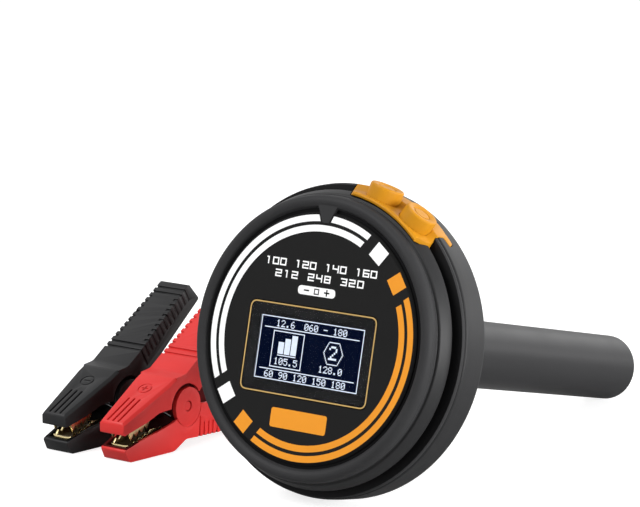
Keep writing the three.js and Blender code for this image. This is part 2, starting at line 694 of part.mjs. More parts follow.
function makeGland() {
  const outside = backDepth(gland.radius - glandCap.radius) + gap;
  const inside = backDepth(gland.radius + gland.flange) - back.thickness - gap;
  const sleeveStart = outside + glandCap.length;
  const outline = [
    point(glandSleeve.bore, inside - gland.flangeThickness),
    point(gland.flange, inside - gland.flangeThickness),
    point(gland.flange, inside),
    point(gland.neck, inside),
    point(gland.neck, outside),
    point(glandCap.radius, outside),
    point(glandCap.radius, sleeveStart - gap),
    point(glandCap.radius - gap, sleeveStart),
  ];
  const ribLength = glandSleeve.length / glandSleeve.ribs;
  for (let i = 0; i < glandSleeve.ribs; i += 1) {
    const share = i / glandSleeve.ribs;
    const radius = THREE.MathUtils.lerp(glandSleeve.radius, glandSleeve.tipRadius, share);
    const start = sleeveStart + i * ribLength;
    outline.push(point(radius - glandSleeve.ribDepth, start));
    outline.push(point(radius - glandSleeve.ribDepth, start + ribLength / 3));
    outline.push(point(radius, start + ribLength / 3));
    outline.push(point(radius, start + ribLength));
  }
  outline.push(point(glandSleeve.bore, sleeveStart + glandSleeve.length));
  return turned(outline, smallSides);
}

function placed(mesh, x, y, z) {
  mesh.position.set(x, y, z);
  return mesh;
}

function makeHead() {
  const head = new THREE.Group();
  head.add(toMesh("front_shell", makeFrontShell(), blackPlastic));
  head.add(toMesh("face_panel", makeFacePanel(), facePrint));
  head.add(toMesh("display_window", makeWindow(), clearPlastic));
  head.add(toMesh("display_module", makeDisplayModule(), greyPlastic));
  head.add(toMesh("display_gasket", makeDisplayGasket(), rubber));
  head.add(toMesh("main_board", makeMainBoard(), circuitGreen));
  head.add(toMesh("button_board", makeButtonBoard(), circuitGreen));
  head.add(toMesh("tact_switch_left", makeTactSwitch(1), greyPlastic));
  head.add(toMesh("tact_switch_right", makeTactSwitch(-1), greyPlastic));
  head.add(toMesh("button_panel", makeButtonPanel(), orangePlastic));
  for (const [name, angle] of Object.entries(keyNames)) {
    const button = toMesh(name, makeKey(), orangePlastic);
    button.applyMatrix4(rimFrame(angle, keys.depth));
    head.add(button);
  }
  head.add(toMesh("rear_shell", makeRearShell(), blackPlastic));
  head.add(toMesh("shell_gasket", makeGasket(), rubber));
  bossPlaces.forEach(({ x, y }, i) => {
    head.add(placed(toMesh(`shell_screw_${i + 1}`, makeScrew(), steel), x, 0, y));
  });
  head.add(toMesh("probe_tube", makeTube(), blackPlastic));
  head.add(toMesh("tube_seal", makeTubeSeal(), rubber));
  head.add(toMesh("tube_nut", makeTubeNut(), steel));
  head.add(toMesh("probe_holder", makeProbeHolder(), greyPlastic));
  head.add(placed(toMesh("heater_rod", makeSheath(heater), steel), 0, 0, heater.offset));
  head.add(placed(toMesh("temp_sensor", makeSheath(sensor), steel), 0, 0, sensor.offset));
  head.add(toMesh("probe_leads", makeLeads(), rubber));
  head.add(toMesh("terminal_block", makeTerminalBlock(), greyPlastic));
  head.add(toMesh("buzzer", makeBuzzer(), rubber));
  head.add(toMesh("heater_switch", makeHeaterSwitch(), blackPlastic));
  head.add(placed(toMesh("cable_gland", makeGland(), rubber), glandPlace.x, 0, glandPlace.y));
  return head;
}

function fromShares(shares) {
  return shares.map(([along, up]) => point(along * clamp.length, up * clamp.height));
}

// Half of the clamp's width at a place along it, less a wall
function halfWidthAt(along, wall) {
  const [widestStart, widestEnd] = widestShares.map((share) => share * clamp.length);
  const { mapLinear, clamp: limit } = THREE.MathUtils;
  const growing = mapLinear(along, 0, widestStart, clamp.tipWidth, clamp.width);
  const falling = mapLinear(along, widestEnd, clamp.length, clamp.width, clamp.endWidth);
  return limit(Math.min(growing, falling), 0, clamp.width) / 2 - wall;
}

// The clamp seen from above, less a wall at each side
function planPrism(wall) {
  const places = [0, ...widestShares, 1].map((share) => share * clamp.length);
  const right = places.map((along) => point(halfWidthAt(along, wall), along));
  const left = right.map(({ x, y }) => point(-x, y)).reverse();
  return prism([...right, ...left], -overrun, clamp.height + overrun, "z");
}

function acrossPrism(outline, halfWidth) {
  return prism(outline, -halfWidth, halfWidth, "x");
}

function disc(radius, along, height, from, to) {
  return [-1, 1].map((side) => {
    const [near, far] = [side * from, side * to].sort((a, b) => a - b);
    return prism(circle(radius, along, height, discSides), near, far, "x");
  });
}

// One half of a clamp as a channel, before its ears and cuts
function channel(outlineShares, hollowShares) {
  const outer = acrossPrism(rounded(fromShares(outlineShares), shellRound), clamp.width);
  const hollow = acrossPrism(fromShares(hollowShares), clamp.width);
  return outer.intersect(planPrism(0)).subtract(hollow.intersect(planPrism(clamp.wall)));
}

// Slots down both sides of a handle and grooves across its back, square to the edge that runs to its end
function gripCutters(edgeStart, edgeEnd) {
  const direction = edgeEnd.clone().sub(edgeStart).normalize();
  const inward = point(direction.y, -direction.x).multiplyScalar(edgeStart.y > pivot.height ? 1 : -1);
  const first = (grip.start - edgeStart.x) / direction.x;
  const outline = (from, to, low, high) => [[from, low], [to, low], [to, high], [from, high]].map(([u, v]) => {
    return edgeStart.clone().addScaledVector(direction, u).addScaledVector(inward, v);
  });
  const cutters = [];
  for (let i = 0; i < grip.count; i += 1) {
    const start = first + i * grip.pitch;
    const height = i === 0 ? grip.longHeight : grip.height;
    const slot = outline(start, start + grip.slot, -overrun, height);
    const half = halfWidthAt(slot[0].x, grip.depth);
    cutters.push(prism(slot, half, half + overrun, "x"), prism(slot, -half - overrun, -half, "x"));
    const groove = outline(start, start + grip.slot, -overrun, grip.depth);
    cutters.push(acrossPrism(groove, clamp.width));
  }
  return cutters;
}

function grooveCutters(start, end) {
  const angle = end.clone().sub(start).angle();
  const frame = new THREE.Matrix4().makeRotationX(angle).setPosition(0, start.x, start.y);
  const middle = jawGrooves.start + jawGrooves.length / 2;
  return Array.from({ length: jawGrooves.count }, (_, i) => {
    const across = (i - (jawGrooves.count - 1) / 2) * jawGrooves.spacing;
    const outline = rectangle(jawGrooves.width, jawGrooves.length, across, middle);
    return toSolid(prismGeometry(outline, -jawGrooves.depth, overrun, "z").applyMatrix4(frame));
  });
}

function jawFrame() {
  const [, start, end] = fromShares(upperHollowShares);
  const angle = end.clone().sub(start).angle();
  return new THREE.Matrix4().makeRotationX(angle).setPosition(0, start.x, start.y);
}

function makeUpperShell() {
  const [, tipTop, knee, , gripStart, gripEnd] = fromShares(upperOutlineShares);
  const [, , , roofKnee, roofDip, roofEnd] = fromShares(upperHollowShares);
  const [near, far] = [ears.innerFace, ears.innerFace + ears.inner];
  const front = pivot.along - ears.innerRadius + gap;
  const rear = pivot.along + ears.innerRadius - gap;
  const roofAt = (along, a, b) => THREE.MathUtils.mapLinear(along, a.x, b.x, a.y, b.y) + clamp.wall;
  const web = [
    point(front, pivot.height),
    point(rear, pivot.height),
    point(rear, roofAt(rear, roofDip, roofEnd)),
    point(roofDip.x, roofDip.y + clamp.wall),
    point(front, roofAt(front, roofKnee, roofDip)),
  ];
  const webs = [prism(web, near, far, "x"), prism(web, -far, -near, "x")];
  const plates = disc(ears.innerRadius, pivot.along, pivot.height, near, far);
  const cutters = [
    ...disc(pivot.pocket, pivot.along - pivot.pocketShift, pivot.height, far, clamp.width),
    ...grooveCutters(tipTop, knee),
    ...gripCutters(gripStart, gripEnd),
    rivetBlank(rivet.shank + gap, -gap - overrun, rivet.blind),
  ];
  const shell = without(channel(upperOutlineShares, upperHollowShares), cutters);
  const bore = acrossPrism(circle(pivot.pin + gap, pivot.along, pivot.height, smallSides), clamp.width);
  return joined([shell, ...plates, ...webs]).subtract(bore);
}

function makeLowerShell() {
  const [, , , gripStart, gripEnd] = fromShares(lowerOutlineShares);
  const handleFloorEnd = fromShares(lowerHollowShares).at(-3);
  const [near, far] = [clamp.width / 2 - ears.outer, clamp.width / 2];
  const plates = disc(pivot.ear, pivot.along, pivot.height, near, far);
  const bore = acrossPrism(circle(pivot.pin + gap, pivot.along, pivot.height, smallSides), clamp.width);
  const rivetHole = circle(rivet.shank + gap, 0, rivet.along, tinySides);
  const leadOutlet = circle(leadHole.radius, 0, leadHole.height, smallSides);
  const shell = joined([channel(lowerOutlineShares, lowerHollowShares), ...plates]);
  return without(shell, [
    bore,
    prism(rivetHole, jaw.floor - gap - rivet.blind, clamp.height, "z"),
    prism(leadOutlet, handleFloorEnd.x, clamp.length + overrun, "y"),
    ...gripCutters(gripStart, gripEnd),
  ]);
}

const teethEnd = teeth.first + teeth.count * teeth.pitch;
const midHeight = (along) => teeth.midHeight + teeth.slope * (along - teeth.first);

// Saw edge between the jaws; side is 1 for the upper jaw and -1 for the lower
function toothEdge(side) {
  const places = Array.from({ length: 2 * teeth.count }, (_, i) => i);
  return places.map((i) => {
    const along = teeth.first + (i * teeth.pitch) / 2;
    const atTip = (i % 2 === 0) === (side > 0);
    const height = side > 0 ? teeth.upper : teeth.lower;
    return point(along, midHeight(along) + side * (teeth.tipGap + (atTip ? 0 : height)));
  });
}

function makeLowerJaw() {
  const high = clamp.height / 2;
  const section = [
    point(-jaw.halfWidth, high), point(-jaw.halfWidth, jaw.floor),
    point(jaw.halfWidth, jaw.floor), point(jaw.halfWidth, high),
  ];
  const inner = [
    point(-jaw.halfWidth + jaw.wall, high + gap), point(-jaw.halfWidth + jaw.wall, jaw.floor + jaw.wall),
    point(jaw.halfWidth - jaw.wall, jaw.floor + jaw.wall), point(jaw.halfWidth - jaw.wall, high + gap),
  ];
  const outerSolid = prism(rounded(section, jaw.round), jaw.start, jaw.end, "y");
  const innerSolid = prism(rounded(inner, jaw.round - jaw.wall), jaw.start - overrun, jaw.end + overrun, "y");
  const side = [
    point(jaw.start, jaw.floor - overrun),
    point(jaw.start, jawNose.top),
    point(jaw.start + jawNose.width, jawNose.top),
    ...toothEdge(-1),
    point(teethEnd, jawNose.strip),
    point(jaw.end, jawNose.strip),
    point(jaw.end, jaw.floor - overrun),
  ];
  const bore = prism(circle(rivet.shank + gap, 0, rivet.along, tinySides), jaw.floor - gap, jaw.floor + overrun, "z");
  return outerSolid.subtract(innerSolid).intersect(acrossPrism(side, clamp.width)).subtract(bore);
}

// The upper jaw is made flat under the roof of its shell, then its saw edge is cut upright
function makeUpperJaw() {
  const low = -clamp.height / 2;
  const inset = jaw.halfWidth - jaw.wall;
  const section = [
    point(-jaw.halfWidth, low), point(jaw.halfWidth, low), point(jaw.halfWidth, -gap), point(-jaw.halfWidth, -gap),
  ];
  const inner = [
    point(-inset, low - gap), point(inset, low - gap),
    point(inset, -gap - jaw.wall), point(-inset, -gap - jaw.wall),
  ];
  const long = [-overrun, clamp.length / 2];
  const cover = toSolid(prismGeometry(rounded(section, jaw.roofRound), ...long, "y").applyMatrix4(jawFrame()));
  const hollowRound = jaw.roofRound - jaw.wall;
  const hollowLong = [long[0] - gap, long[1] + gap];
  const hollow = toSolid(
    prismGeometry(rounded(inner, hollowRound), ...hollowLong, "y").applyMatrix4(jawFrame()),
  );
  const side = [
    point(jaw.start, clamp.height),
    point(jaw.start, jawNose.upperTop),
    point(jaw.start + jawNose.width, jawNose.upperTop - gap),
    ...toothEdge(1),
    point(teethEnd, jawNose.upperRear),
    point(jaw.end, jawNose.upperRear),
    point(jaw.end, clamp.height),
  ];
  const bore = rivetBlank(rivet.shank + gap, -overrun, overrun);
  return cover.subtract(hollow).intersect(acrossPrism(side, clamp.width)).subtract(bore);
}

// Cylinder across the roof's plane at the upper rivet
function rivetBlank(radius, from, to) {
  const outline = circle(radius, 0, rivet.along, tinySides);
  return toSolid(prismGeometry(outline, from, to, "z").applyMatrix4(jawFrame()));
}

function makeLowerRivet() {
  const seat = jaw.floor + jaw.wall + gap;
  const shank = circle(rivet.shank, 0, rivet.along, tinySides);
  return joined([
    prism(circle(rivet.head, 0, rivet.along, smallSides), seat, seat + rivet.headHeight, "z"),
    prism(shank, jaw.floor - rivet.blind, seat + gap, "z"),
  ]);
}

function makeUpperRivet() {
  const seat = -gap - jaw.wall - gap;
  const outline = circle(rivet.head, 0, rivet.along, smallSides);
  const head = prismGeometry(outline, seat - rivet.headHeight, seat, "z").applyMatrix4(jawFrame());
  return toSolid(head).add(rivetBlank(rivet.shank, seat - gap, rivet.blind - gap));
}

// Round wire along a path, as one unbroken tube with flat ends
function wire(path, radius, sides) {
  const corners = [];
  const triangles = [];
  let normal = null;
  path.forEach((centre, i) => {
    const before = path[Math.max(i - 1, 0)];
    const after = path[Math.min(i + 1, path.length - 1)];
    const tangent = after.clone().sub(before).normalize();
    if (!normal) normal = new THREE.Vector3(1, 0, 0);
    normal.addScaledVector(tangent, -normal.dot(tangent)).normalize();
    const side = tangent.clone().cross(normal);
    for (let k = 0; k < sides; k += 1) {
      const angle = (k / sides) * 2 * Math.PI;
      const offset = normal.clone().multiplyScalar(Math.cos(angle)).addScaledVector(side, Math.sin(angle));
      corners.push(...centre.clone().addScaledVector(offset, radius).toArray());
    }
  });
  for (let i = 0; i < path.length - 1; i += 1) {
    for (let k = 0; k < sides; k += 1) {
      const [a, b] = [i * sides + k, i * sides + ((k + 1) % sides)];
      triangles.push(a, b, b + sides, a, b + sides, a + sides);
    }
  }
  const last = (path.length - 1) * sides;
  for (let k = 1; k < sides - 1; k += 1) {
    triangles.push(0, k + 1, k, last, last + k, last + k + 1);
  }
  const geometry = new THREE.BufferGeometry();
  geometry.setAttribute("position", new THREE.BufferAttribute(new Float32Array(corners), 3));
  geometry.setIndex(triangles);
  return toSolid(geometry);
}

// Least distance between stretches of a wound wire that are more than half a turn apart
function leastGap(path, steps, radius) {
  let least = Infinity;
  path.forEach((a, i) => {
    path.slice(i + Math.ceil(steps / 2)).forEach((b) => {
      least = Math.min(least, a.distanceTo(b));
    });
  });
  return least - 2 * radius;
}

// Torsion spring round the pin: its long leg lies on the lower handle, its short one under the upper roof
function springPath() {
  const centre = point(pivot.along, pivot.height);
  const roof = fromShares(upperHollowShares);
  const [, , , , roofStart, roofEnd] = roof;
  const roofLine = roofEnd.clone().sub(roofStart).normalize();
  const roofNormal = point(-roofLine.y, roofLine.x);
  const roofDistance = roofStart.clone().sub(centre).dot(roofNormal);
  const upperReach = roofDistance - gap - coil.wire;
  const floorPoints = fromShares(lowerHollowShares);
  const [floorStart, floorEnd] = floorPoints.slice(-4);
  const floorSlope = (floorEnd.y - floorStart.y) / (floorEnd.x - floorStart.x);
  const floorHeight = floorStart.y + (coil.legEnd - floorStart.x) * floorSlope;
  const lowerEnd = point(coil.legEnd, floorHeight + gap + coil.wire).sub(centre);
  const upperEnd = roofNormal.clone().multiplyScalar(upperReach);
  const arrive = lowerEnd.angle() - Math.acos(coil.radius / lowerEnd.length());
  const leave = upperEnd.angle() + Math.acos(coil.radius / upperEnd.length());
  const full = 2 * Math.PI;
  const sweep = THREE.MathUtils.euclideanModulo(arrive - leave, full) + coil.turns * full;
  const steps = Math.round((sweep / full) * coil.steps);
  const place = (x, offset) => new THREE.Vector3(x, centre.x + offset.x, centre.y + offset.y);
  const turns = Array.from({ length: steps + 1 }, (_, i) => {
    const angle = arrive - (sweep * i) / steps;
    const x = THREE.MathUtils.lerp(-coil.halfWidth, coil.halfWidth, i / steps);
    return place(x, point(coil.radius * Math.cos(angle), coil.radius * Math.sin(angle)));
  });
  return [place(-coil.halfWidth, lowerEnd), ...turns, place(coil.halfWidth, upperEnd)];
}

function makePin() {
  const half = clamp.width / 2 - gap;
  return acrossPrism(circle(pivot.pin, pivot.along, pivot.height, smallSides), half);
}

function makeClamp(name, plastic) {
  const group = new THREE.Group();
  group.add(toMesh(`${name}_lower_shell`, makeLowerShell(), plastic));
  group.add(toMesh(`${name}_upper_shell`, makeUpperShell(), plastic));
  group.add(toMesh(`${name}_lower_jaw`, makeLowerJaw(), brass));
  group.add(toMesh(`${name}_upper_jaw`, makeUpperJaw(), brass));
  group.add(toMesh(`${name}_lower_rivet`, makeLowerRivet(), steel));
  group.add(toMesh(`${name}_upper_rivet`, makeUpperRivet(), steel));
  group.add(toMesh(`${name}_pivot_pin`, makePin(), plastic));
  const path = springPath();
  group.add(toMesh(`${name}_spring`, wire(path, coil.wire, coil.sides), steel));
  console.log(`${name} spring: least gap to itself ${leastGap(path, coil.steps, coil.wire).toFixed(2)} mm`);
  group.position.set(clampPlaces[name].x, clampPlaces[name].y, 0);
  return group;
}

// The head leans back until its rear rim and the end of its tube stand on the floor
function makeTester() {
  const rimReach = band.radius * Math.cos(Math.PI / headSides);
  const tubeReach = tube.radius * Math.cos(Math.PI / tubeSides);
  const tilt = Math.atan((rimReach - tubeReach) / (tube.end - tube.edge - band.end));
  const head = makeHead();
  head.rotation.x = -tilt;
  head.position.z = rimReach * Math.cos(tilt) + band.end * Math.sin(tilt);
  const tester = new THREE.Group();
  tester.add(head, makeClamp("red", redPlastic), makeClamp("black", clampBlack));
  const middle = new THREE.Box3().setFromObject(tester, true).getCenter(new THREE.Vector3());
  tester.position.set(-middle.x, -middle.y, 0);
  return tester;
}

export default makeTester();
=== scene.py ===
"""Looks of the coolant tester and its two battery clamps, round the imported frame.

Lengths are in millimetres up to build(), which makes metres of them. The head is drawn about the axis of its
tube: radii from that axis, depths back from the printed face, angles up from the right.
"""

import math

import bmesh
import bpy
from mathutils import Matrix, Vector


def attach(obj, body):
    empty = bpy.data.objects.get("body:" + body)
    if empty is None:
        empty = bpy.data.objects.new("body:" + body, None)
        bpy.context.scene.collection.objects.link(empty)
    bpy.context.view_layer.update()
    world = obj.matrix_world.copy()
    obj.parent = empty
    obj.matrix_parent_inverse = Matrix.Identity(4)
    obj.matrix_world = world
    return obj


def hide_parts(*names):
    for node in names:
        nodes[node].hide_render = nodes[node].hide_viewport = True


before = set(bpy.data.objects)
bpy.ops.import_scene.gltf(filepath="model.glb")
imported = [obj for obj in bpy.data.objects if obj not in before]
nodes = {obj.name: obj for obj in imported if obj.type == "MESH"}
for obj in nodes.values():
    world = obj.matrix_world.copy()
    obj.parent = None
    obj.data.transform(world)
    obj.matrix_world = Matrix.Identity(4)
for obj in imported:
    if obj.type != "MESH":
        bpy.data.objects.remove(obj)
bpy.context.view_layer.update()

MM = 0.001
TINY = 1e-6
TILT = 0.2361312
HEAD = Matrix.Translation((31.733, -82.529, 52.132)) @ Matrix.Rotation(-TILT, 4, "X")
CLAMPS = {"red": Vector((-50.067, -78.829, 0)), "black": Vector((-72.267, -81.629, 0))}


# Outlines

CURVE_SHARE = 0.48  # most that one corner's curve takes of a side
ROUND, HOLE = 64, 40  # sides of larger and smaller circles


def rounded(corners, radius=0.0, steps=5):
    """Outline with each corner replaced by a short curve; a corner may carry its own radius."""
    out = []
    for i, c in enumerate(corners):
        r = c[2] if len(c) > 2 else radius
        p = Vector(c[:2])
        a = Vector(corners[i - 1][:2])
        b = Vector(corners[(i + 1) % len(corners)][:2])
        if r <= 0:
            out.append(p)
            continue
        start = p.lerp(a, min(CURVE_SHARE, r / max((a - p).length, TINY)))
        end = p.lerp(b, min(CURVE_SHARE, r / max((b - p).length, TINY)))
        for k in range(steps + 1):
            t = k / steps
            out.append(start * (1 - t) ** 2 + p * 2 * t * (1 - t) + end * t * t)
    return out


def bar(x0, y0, x1, y1, radius=0.0, steps=5):
    return rounded([(x0, y0), (x1, y0), (x1, y1), (x0, y1)], radius, steps)


def circle(radius, sides=ROUND, x=0.0, y=0.0):
    turns = [2 * math.pi * (k + 0.5) / sides for k in range(sides)]
    return [Vector((x + radius * math.cos(t), y + radius * math.sin(t))) for t in turns]


def polar(radius, degrees):
    angle = math.radians(degrees)
    return radius * math.cos(angle), radius * math.sin(angle)


def area(points):
    return 0.5 * sum(a[0] * b[1] - b[0] * a[1] for a, b in zip(points, points[1:] + points[:1]))


def grown(points, distance):
    """Outline moved outwards by a distance."""
    turn = 1 if area(points) > 0 else -1
    out = []
    for i, c in enumerate(points):
        before = (c - points[i - 1]).normalized()
        after = (points[(i + 1) % len(points)] - c).normalized()
        normal = (Vector((before.y + after.y, -before.x - after.x)) * turn).normalized()
        slant = max(0.5, abs(normal.x * after.y - normal.y * after.x))
        out.append(c + normal * (distance / slant))
    return out


# Places: matrices whose first two axes carry an outline and whose third pushes it


def basis(x, y, z, origin=(0, 0, 0)):
    m = Matrix((x, y, z)).transposed().to_4x4()
    m.translation = Vector(origin)
    return m


BACKWARDS = basis((1, 0, 0), (0, 0, 1), (0, 1, 0))
SIDEWAYS = basis((0, 1, 0), (0, 0, 1), (1, 0, 0))
FACE = HEAD @ BACKWARDS


def rim(angle, depth):
    """Place on the head's rim: x back, y round it, z outwards."""
    c, s = polar(1, angle)
    return HEAD @ basis((0, 1, 0), (-s, 0, c), (c, 0, s), (0, depth, 0))


# Solids

MERGE, BEVEL_MERGE = 1e-7, 2e-6  # metres
FLAT_ANGLE, LATHE_SMOOTH, SHELL_SMOOTH, BEVEL_ANGLE = 1, 32, 30, 40  # degrees
EDGE_BEVEL, JAW_BEVEL = 0.22, 0.12


def link_new(name, data):
    obj = bpy.data.objects.new(name, data)
    bpy.context.scene.collection.objects.link(obj)
    return obj


def build(name, points, faces, matrix):
    mesh = bpy.data.meshes.new(name)
    mesh.from_pydata([tuple(p) for p in points], [], faces)
    mesh.transform(matrix)
    mesh.transform(Matrix.Scale(MM, 4))
    bm = bmesh.new()
    bm.from_mesh(mesh)
    bmesh.ops.remove_doubles(bm, verts=bm.verts, dist=MERGE)
    bmesh.ops.recalc_face_normals(bm, faces=bm.faces)
    bm.to_mesh(mesh)
    bm.free()
    return link_new(name, mesh)


def smooth(obj, angle=SHELL_SMOOTH):
    obj.data.shade_smooth()
    obj.data.set_sharp_from_angle(angle=math.radians(angle))
    return obj


def lathe(name, profile, sides, matrix=HEAD):
    """Closed profile of radius and depth, turned about the depth axis."""
    points, rows = [], []
    for r, s in [p[:2] for p in profile]:
        if r < TINY:
            rows.append([len(points)])
            points.append((0, s, 0))
        else:
            rows.append(list(range(len(points), len(points) + sides)))
            for k in range(sides):
                a = 2 * math.pi * (k + 0.5) / sides
                points.append((r * math.sin(a), s, r * math.cos(a)))
    faces = []
    for row, following in zip(rows, rows[1:] + rows[:1]):
        for k in range(sides):
            a, b = row[k % len(row)], row[(k + 1) % len(row)]
            c, d = following[(k + 1) % len(following)], following[k % len(following)]
            face = list(dict.fromkeys([a, b, c, d]))
            if len(face) > 2:
                faces.append(face)
    return smooth(build(name, points, faces, matrix), LATHE_SMOOTH)


def prism(name, outline, low, high, matrix):
    """Outline in the first two axes of the matrix, pushed along its third."""
    n = len(outline)
    points = [(p[0], p[1], depth) for depth in (low, high) for p in outline]
    faces = [list(range(n)), list(range(2 * n - 1, n - 1, -1))]
    faces += [[i, (i + 1) % n, n + (i + 1) % n, n + i] for i in range(n)]
    return build(name, points, faces, matrix)


def between(name, outer, inner, low, high, matrix):
    """Solid between two outlines that have the same number of points."""
    n = len(outer)
    points = [(p.x, p.y, depth) for depth in (low, high) for p in outer + inner]
    faces = []
    for i in range(n):
        j = (i + 1) % n
        faces += [[i, j, n + j, n + i], [2 * n + i, 2 * n + j, 3 * n + j, 3 * n + i]]
        faces += [[i, j, 2 * n + j, 2 * n + i], [n + i, n + j, 3 * n + j, 3 * n + i]]
    return build(name, points, faces, matrix)


def annulus(name, radius, width, low, high, matrix, sides):
    return between(name, circle(radius, sides), circle(radius - width, sides), low, high, matrix)


def join(objects):
    """One mesh of several, for cutting or for one material."""
    bm = bmesh.new()
    for o in objects:
        bm.from_mesh(o.data)
    first = objects[0]
    bm.to_mesh(first.data)
    bm.free()
    for o in objects[1:]:
        bpy.data.objects.remove(o)
    return first


def apply_modifiers(obj):
    graph = bpy.context.evaluated_depsgraph_get()
    graph.update()
    mesh = bpy.data.meshes.new_from_object(obj.evaluated_get(graph))
    obj.modifiers.clear()
    obj.data = mesh


def boolean(obj, *tools, operation="DIFFERENCE", overlapping=False):
    """Cuts or joins each tool in turn; overlapping is for a tool whose parts run through each other."""
    for tool in tools:
        modifier = obj.modifiers.new("cut", "BOOLEAN")
        modifier.object = tool
        modifier.operation = operation
        modifier.solver = "EXACT"
        modifier.use_self = overlapping
        apply_modifiers(obj)
        bpy.data.objects.remove(tool)
    return obj


def bevel(obj, width, segments=2):
    bm = bmesh.new()
    bm.from_mesh(obj.data)
    bmesh.ops.remove_doubles(bm, verts=bm.verts, dist=BEVEL_MERGE)
    bmesh.ops.dissolve_limit(bm, angle_limit=math.radians(FLAT_ANGLE), verts=bm.verts, edges=bm.edges)
    bm.to_mesh(obj.data)
    bm.free()
    modifier = obj.modifiers.new("bevel", "BEVEL")
    modifier.width = width * MM
    modifier.segments = segments
    modifier.limit_method = "ANGLE"
    modifier.angle_limit = math.radians(BEVEL_ANGLE)
    apply_modifiers(obj)
    return smooth(obj, BEVEL_ANGLE)


# Materials

SLOW_SCALE, CELL_SCALE, PANE_SCALE = 60.0, 900.0, 300.0  # noise per metre
TONE_ENDS = (0.3, 0.7)
GLOSS_CHANGE = 0.06
GRAIN_HEIGHT = 0.0001
RING_STRETCH = (12, 1, 12)
UNLIT, CELL_SHADE = (0.001, 0.001, 0.0012, 1), 0.85
PANE_TINT, PANE_GLOSS, PANE_IOR = (0.95, 0.96, 1, 1), (0.02, 0.06), 1.05


def linear(hex_colour):
    def channel(v):
        v /= 255
        return v / 12.92 if v <= 0.04045 else ((v + 0.055) / 1.055) ** 2.4

    return (*[channel((hex_colour >> shift) & 255) for shift in (16, 8, 0)], 1)


def scaled(colour, factor):
    return (*[min(1, c * factor) for c in colour[:3]], 1)


def new_material(name):
    material = bpy.data.materials.new(name)
    material.use_nodes = True
    tree = material.node_tree
    return material, tree, tree.nodes["Principled BSDF"]


def node(tree, kind, **values):
    made = tree.nodes.new(kind)
    for key, value in values.items():
        if key in made.inputs:
            made.inputs[key].default_value = value
        else:
            setattr(made, key, value)
    return made


def settle(target, values):
    for socket, value in values.items():
        target.inputs[socket].default_value = value


def wire(tree, *ends):
    """Links each output to the input that follows it."""
    for output, socket in zip(ends[::2], ends[1::2]):
        tree.links.new(output, socket)


def object_coordinates(tree):
    return node(tree, "ShaderNodeTexCoord").outputs["Object"]


def two_tone(tree, source, low, high, ends=(0, 1)):
    ramp = node(tree, "ShaderNodeValToRGB")
    for element, position, colour in zip(ramp.color_ramp.elements, ends, (low, high)):
        element.position = position
        element.color = colour
    wire(tree, source, ramp.inputs["Fac"])
    return ramp.outputs["Color"]


def spread(tree, source, low, high):
    """Values from low to high, by a noise from 0 to 1."""
    made = node(tree, "ShaderNodeMapRange")
    settle(made, {"To Min": low, "To Max": high})
    wire(tree, source, made.inputs["Value"])
    return made.outputs[0]


def moulded(name, colour, roughness=0.5, grain=2600, bump=0.12, specular=0.5, tone=0.06, metallic=0.0,
            turned=False):
    """Moulded surface: slow changes of tone and gloss, and a fine grain, drawn out into rings if turned."""
    material, tree, shader = new_material(name)
    mapping = node(tree, "ShaderNodeMapping")
    if turned:
        mapping.vector_type = "TEXTURE"
        settle(mapping, {
            "Location": HEAD.to_translation() * MM, "Rotation": (-TILT, 0, 0), "Scale": RING_STRETCH,
        })
    slow = node(tree, "ShaderNodeTexNoise", Scale=SLOW_SCALE, Detail=3.0, Roughness=0.6)
    fine = node(tree, "ShaderNodeTexNoise", Scale=float(grain), Detail=2.0, Roughness=0.6)
    bumps = node(tree, "ShaderNodeBump", Strength=bump, Distance=GRAIN_HEIGHT)
    base = linear(colour)
    tones = two_tone(tree, slow.outputs["Fac"], scaled(base, 1 - tone), scaled(base, 1 + tone), TONE_ENDS)
    gloss = spread(tree, slow.outputs["Fac"], roughness - GLOSS_CHANGE, roughness + GLOSS_CHANGE)
    wire(
        tree,
        object_coordinates(tree), mapping.inputs["Vector"],
        mapping.outputs[0], slow.inputs["Vector"],
        mapping.outputs[0], fine.inputs["Vector"],
        tones, shader.inputs["Base Color"],
        gloss, shader.inputs["Roughness"],
        fine.outputs["Fac"], bumps.inputs["Height"],
        bumps.outputs[0], shader.inputs["Normal"],
    )
    settle(shader, {"Specular IOR Level": specular, "Metallic": metallic})
    return material


def glowing(name, colour, strength):
    material, tree, shader = new_material(name)
    cells = node(tree, "ShaderNodeTexNoise", Scale=CELL_SCALE, Detail=1.0)
    base = linear(colour)
    glow = two_tone(tree, cells.outputs["Fac"], scaled(base, CELL_SHADE), base)
    wire(tree, object_coordinates(tree), cells.inputs["Vector"], glow, shader.inputs["Emission Color"])
    settle(shader, {
        "Base Color": UNLIT, "Emission Strength": strength, "Roughness": 0.5, "Specular IOR Level": 0.0,
    })
    return material


def clear(name):
    material, tree, shader = new_material(name)
    fine = node(tree, "ShaderNodeTexNoise", Scale=PANE_SCALE, Detail=2.0)
    gloss = spread(tree, fine.outputs["Fac"], *PANE_GLOSS)
    wire(tree, object_coordinates(tree), fine.inputs["Vector"], gloss, shader.inputs["Roughness"])
    settle(shader, {"Base Color": PANE_TINT, "Transmission Weight": 1.0, "IOR": PANE_IOR})
    return material


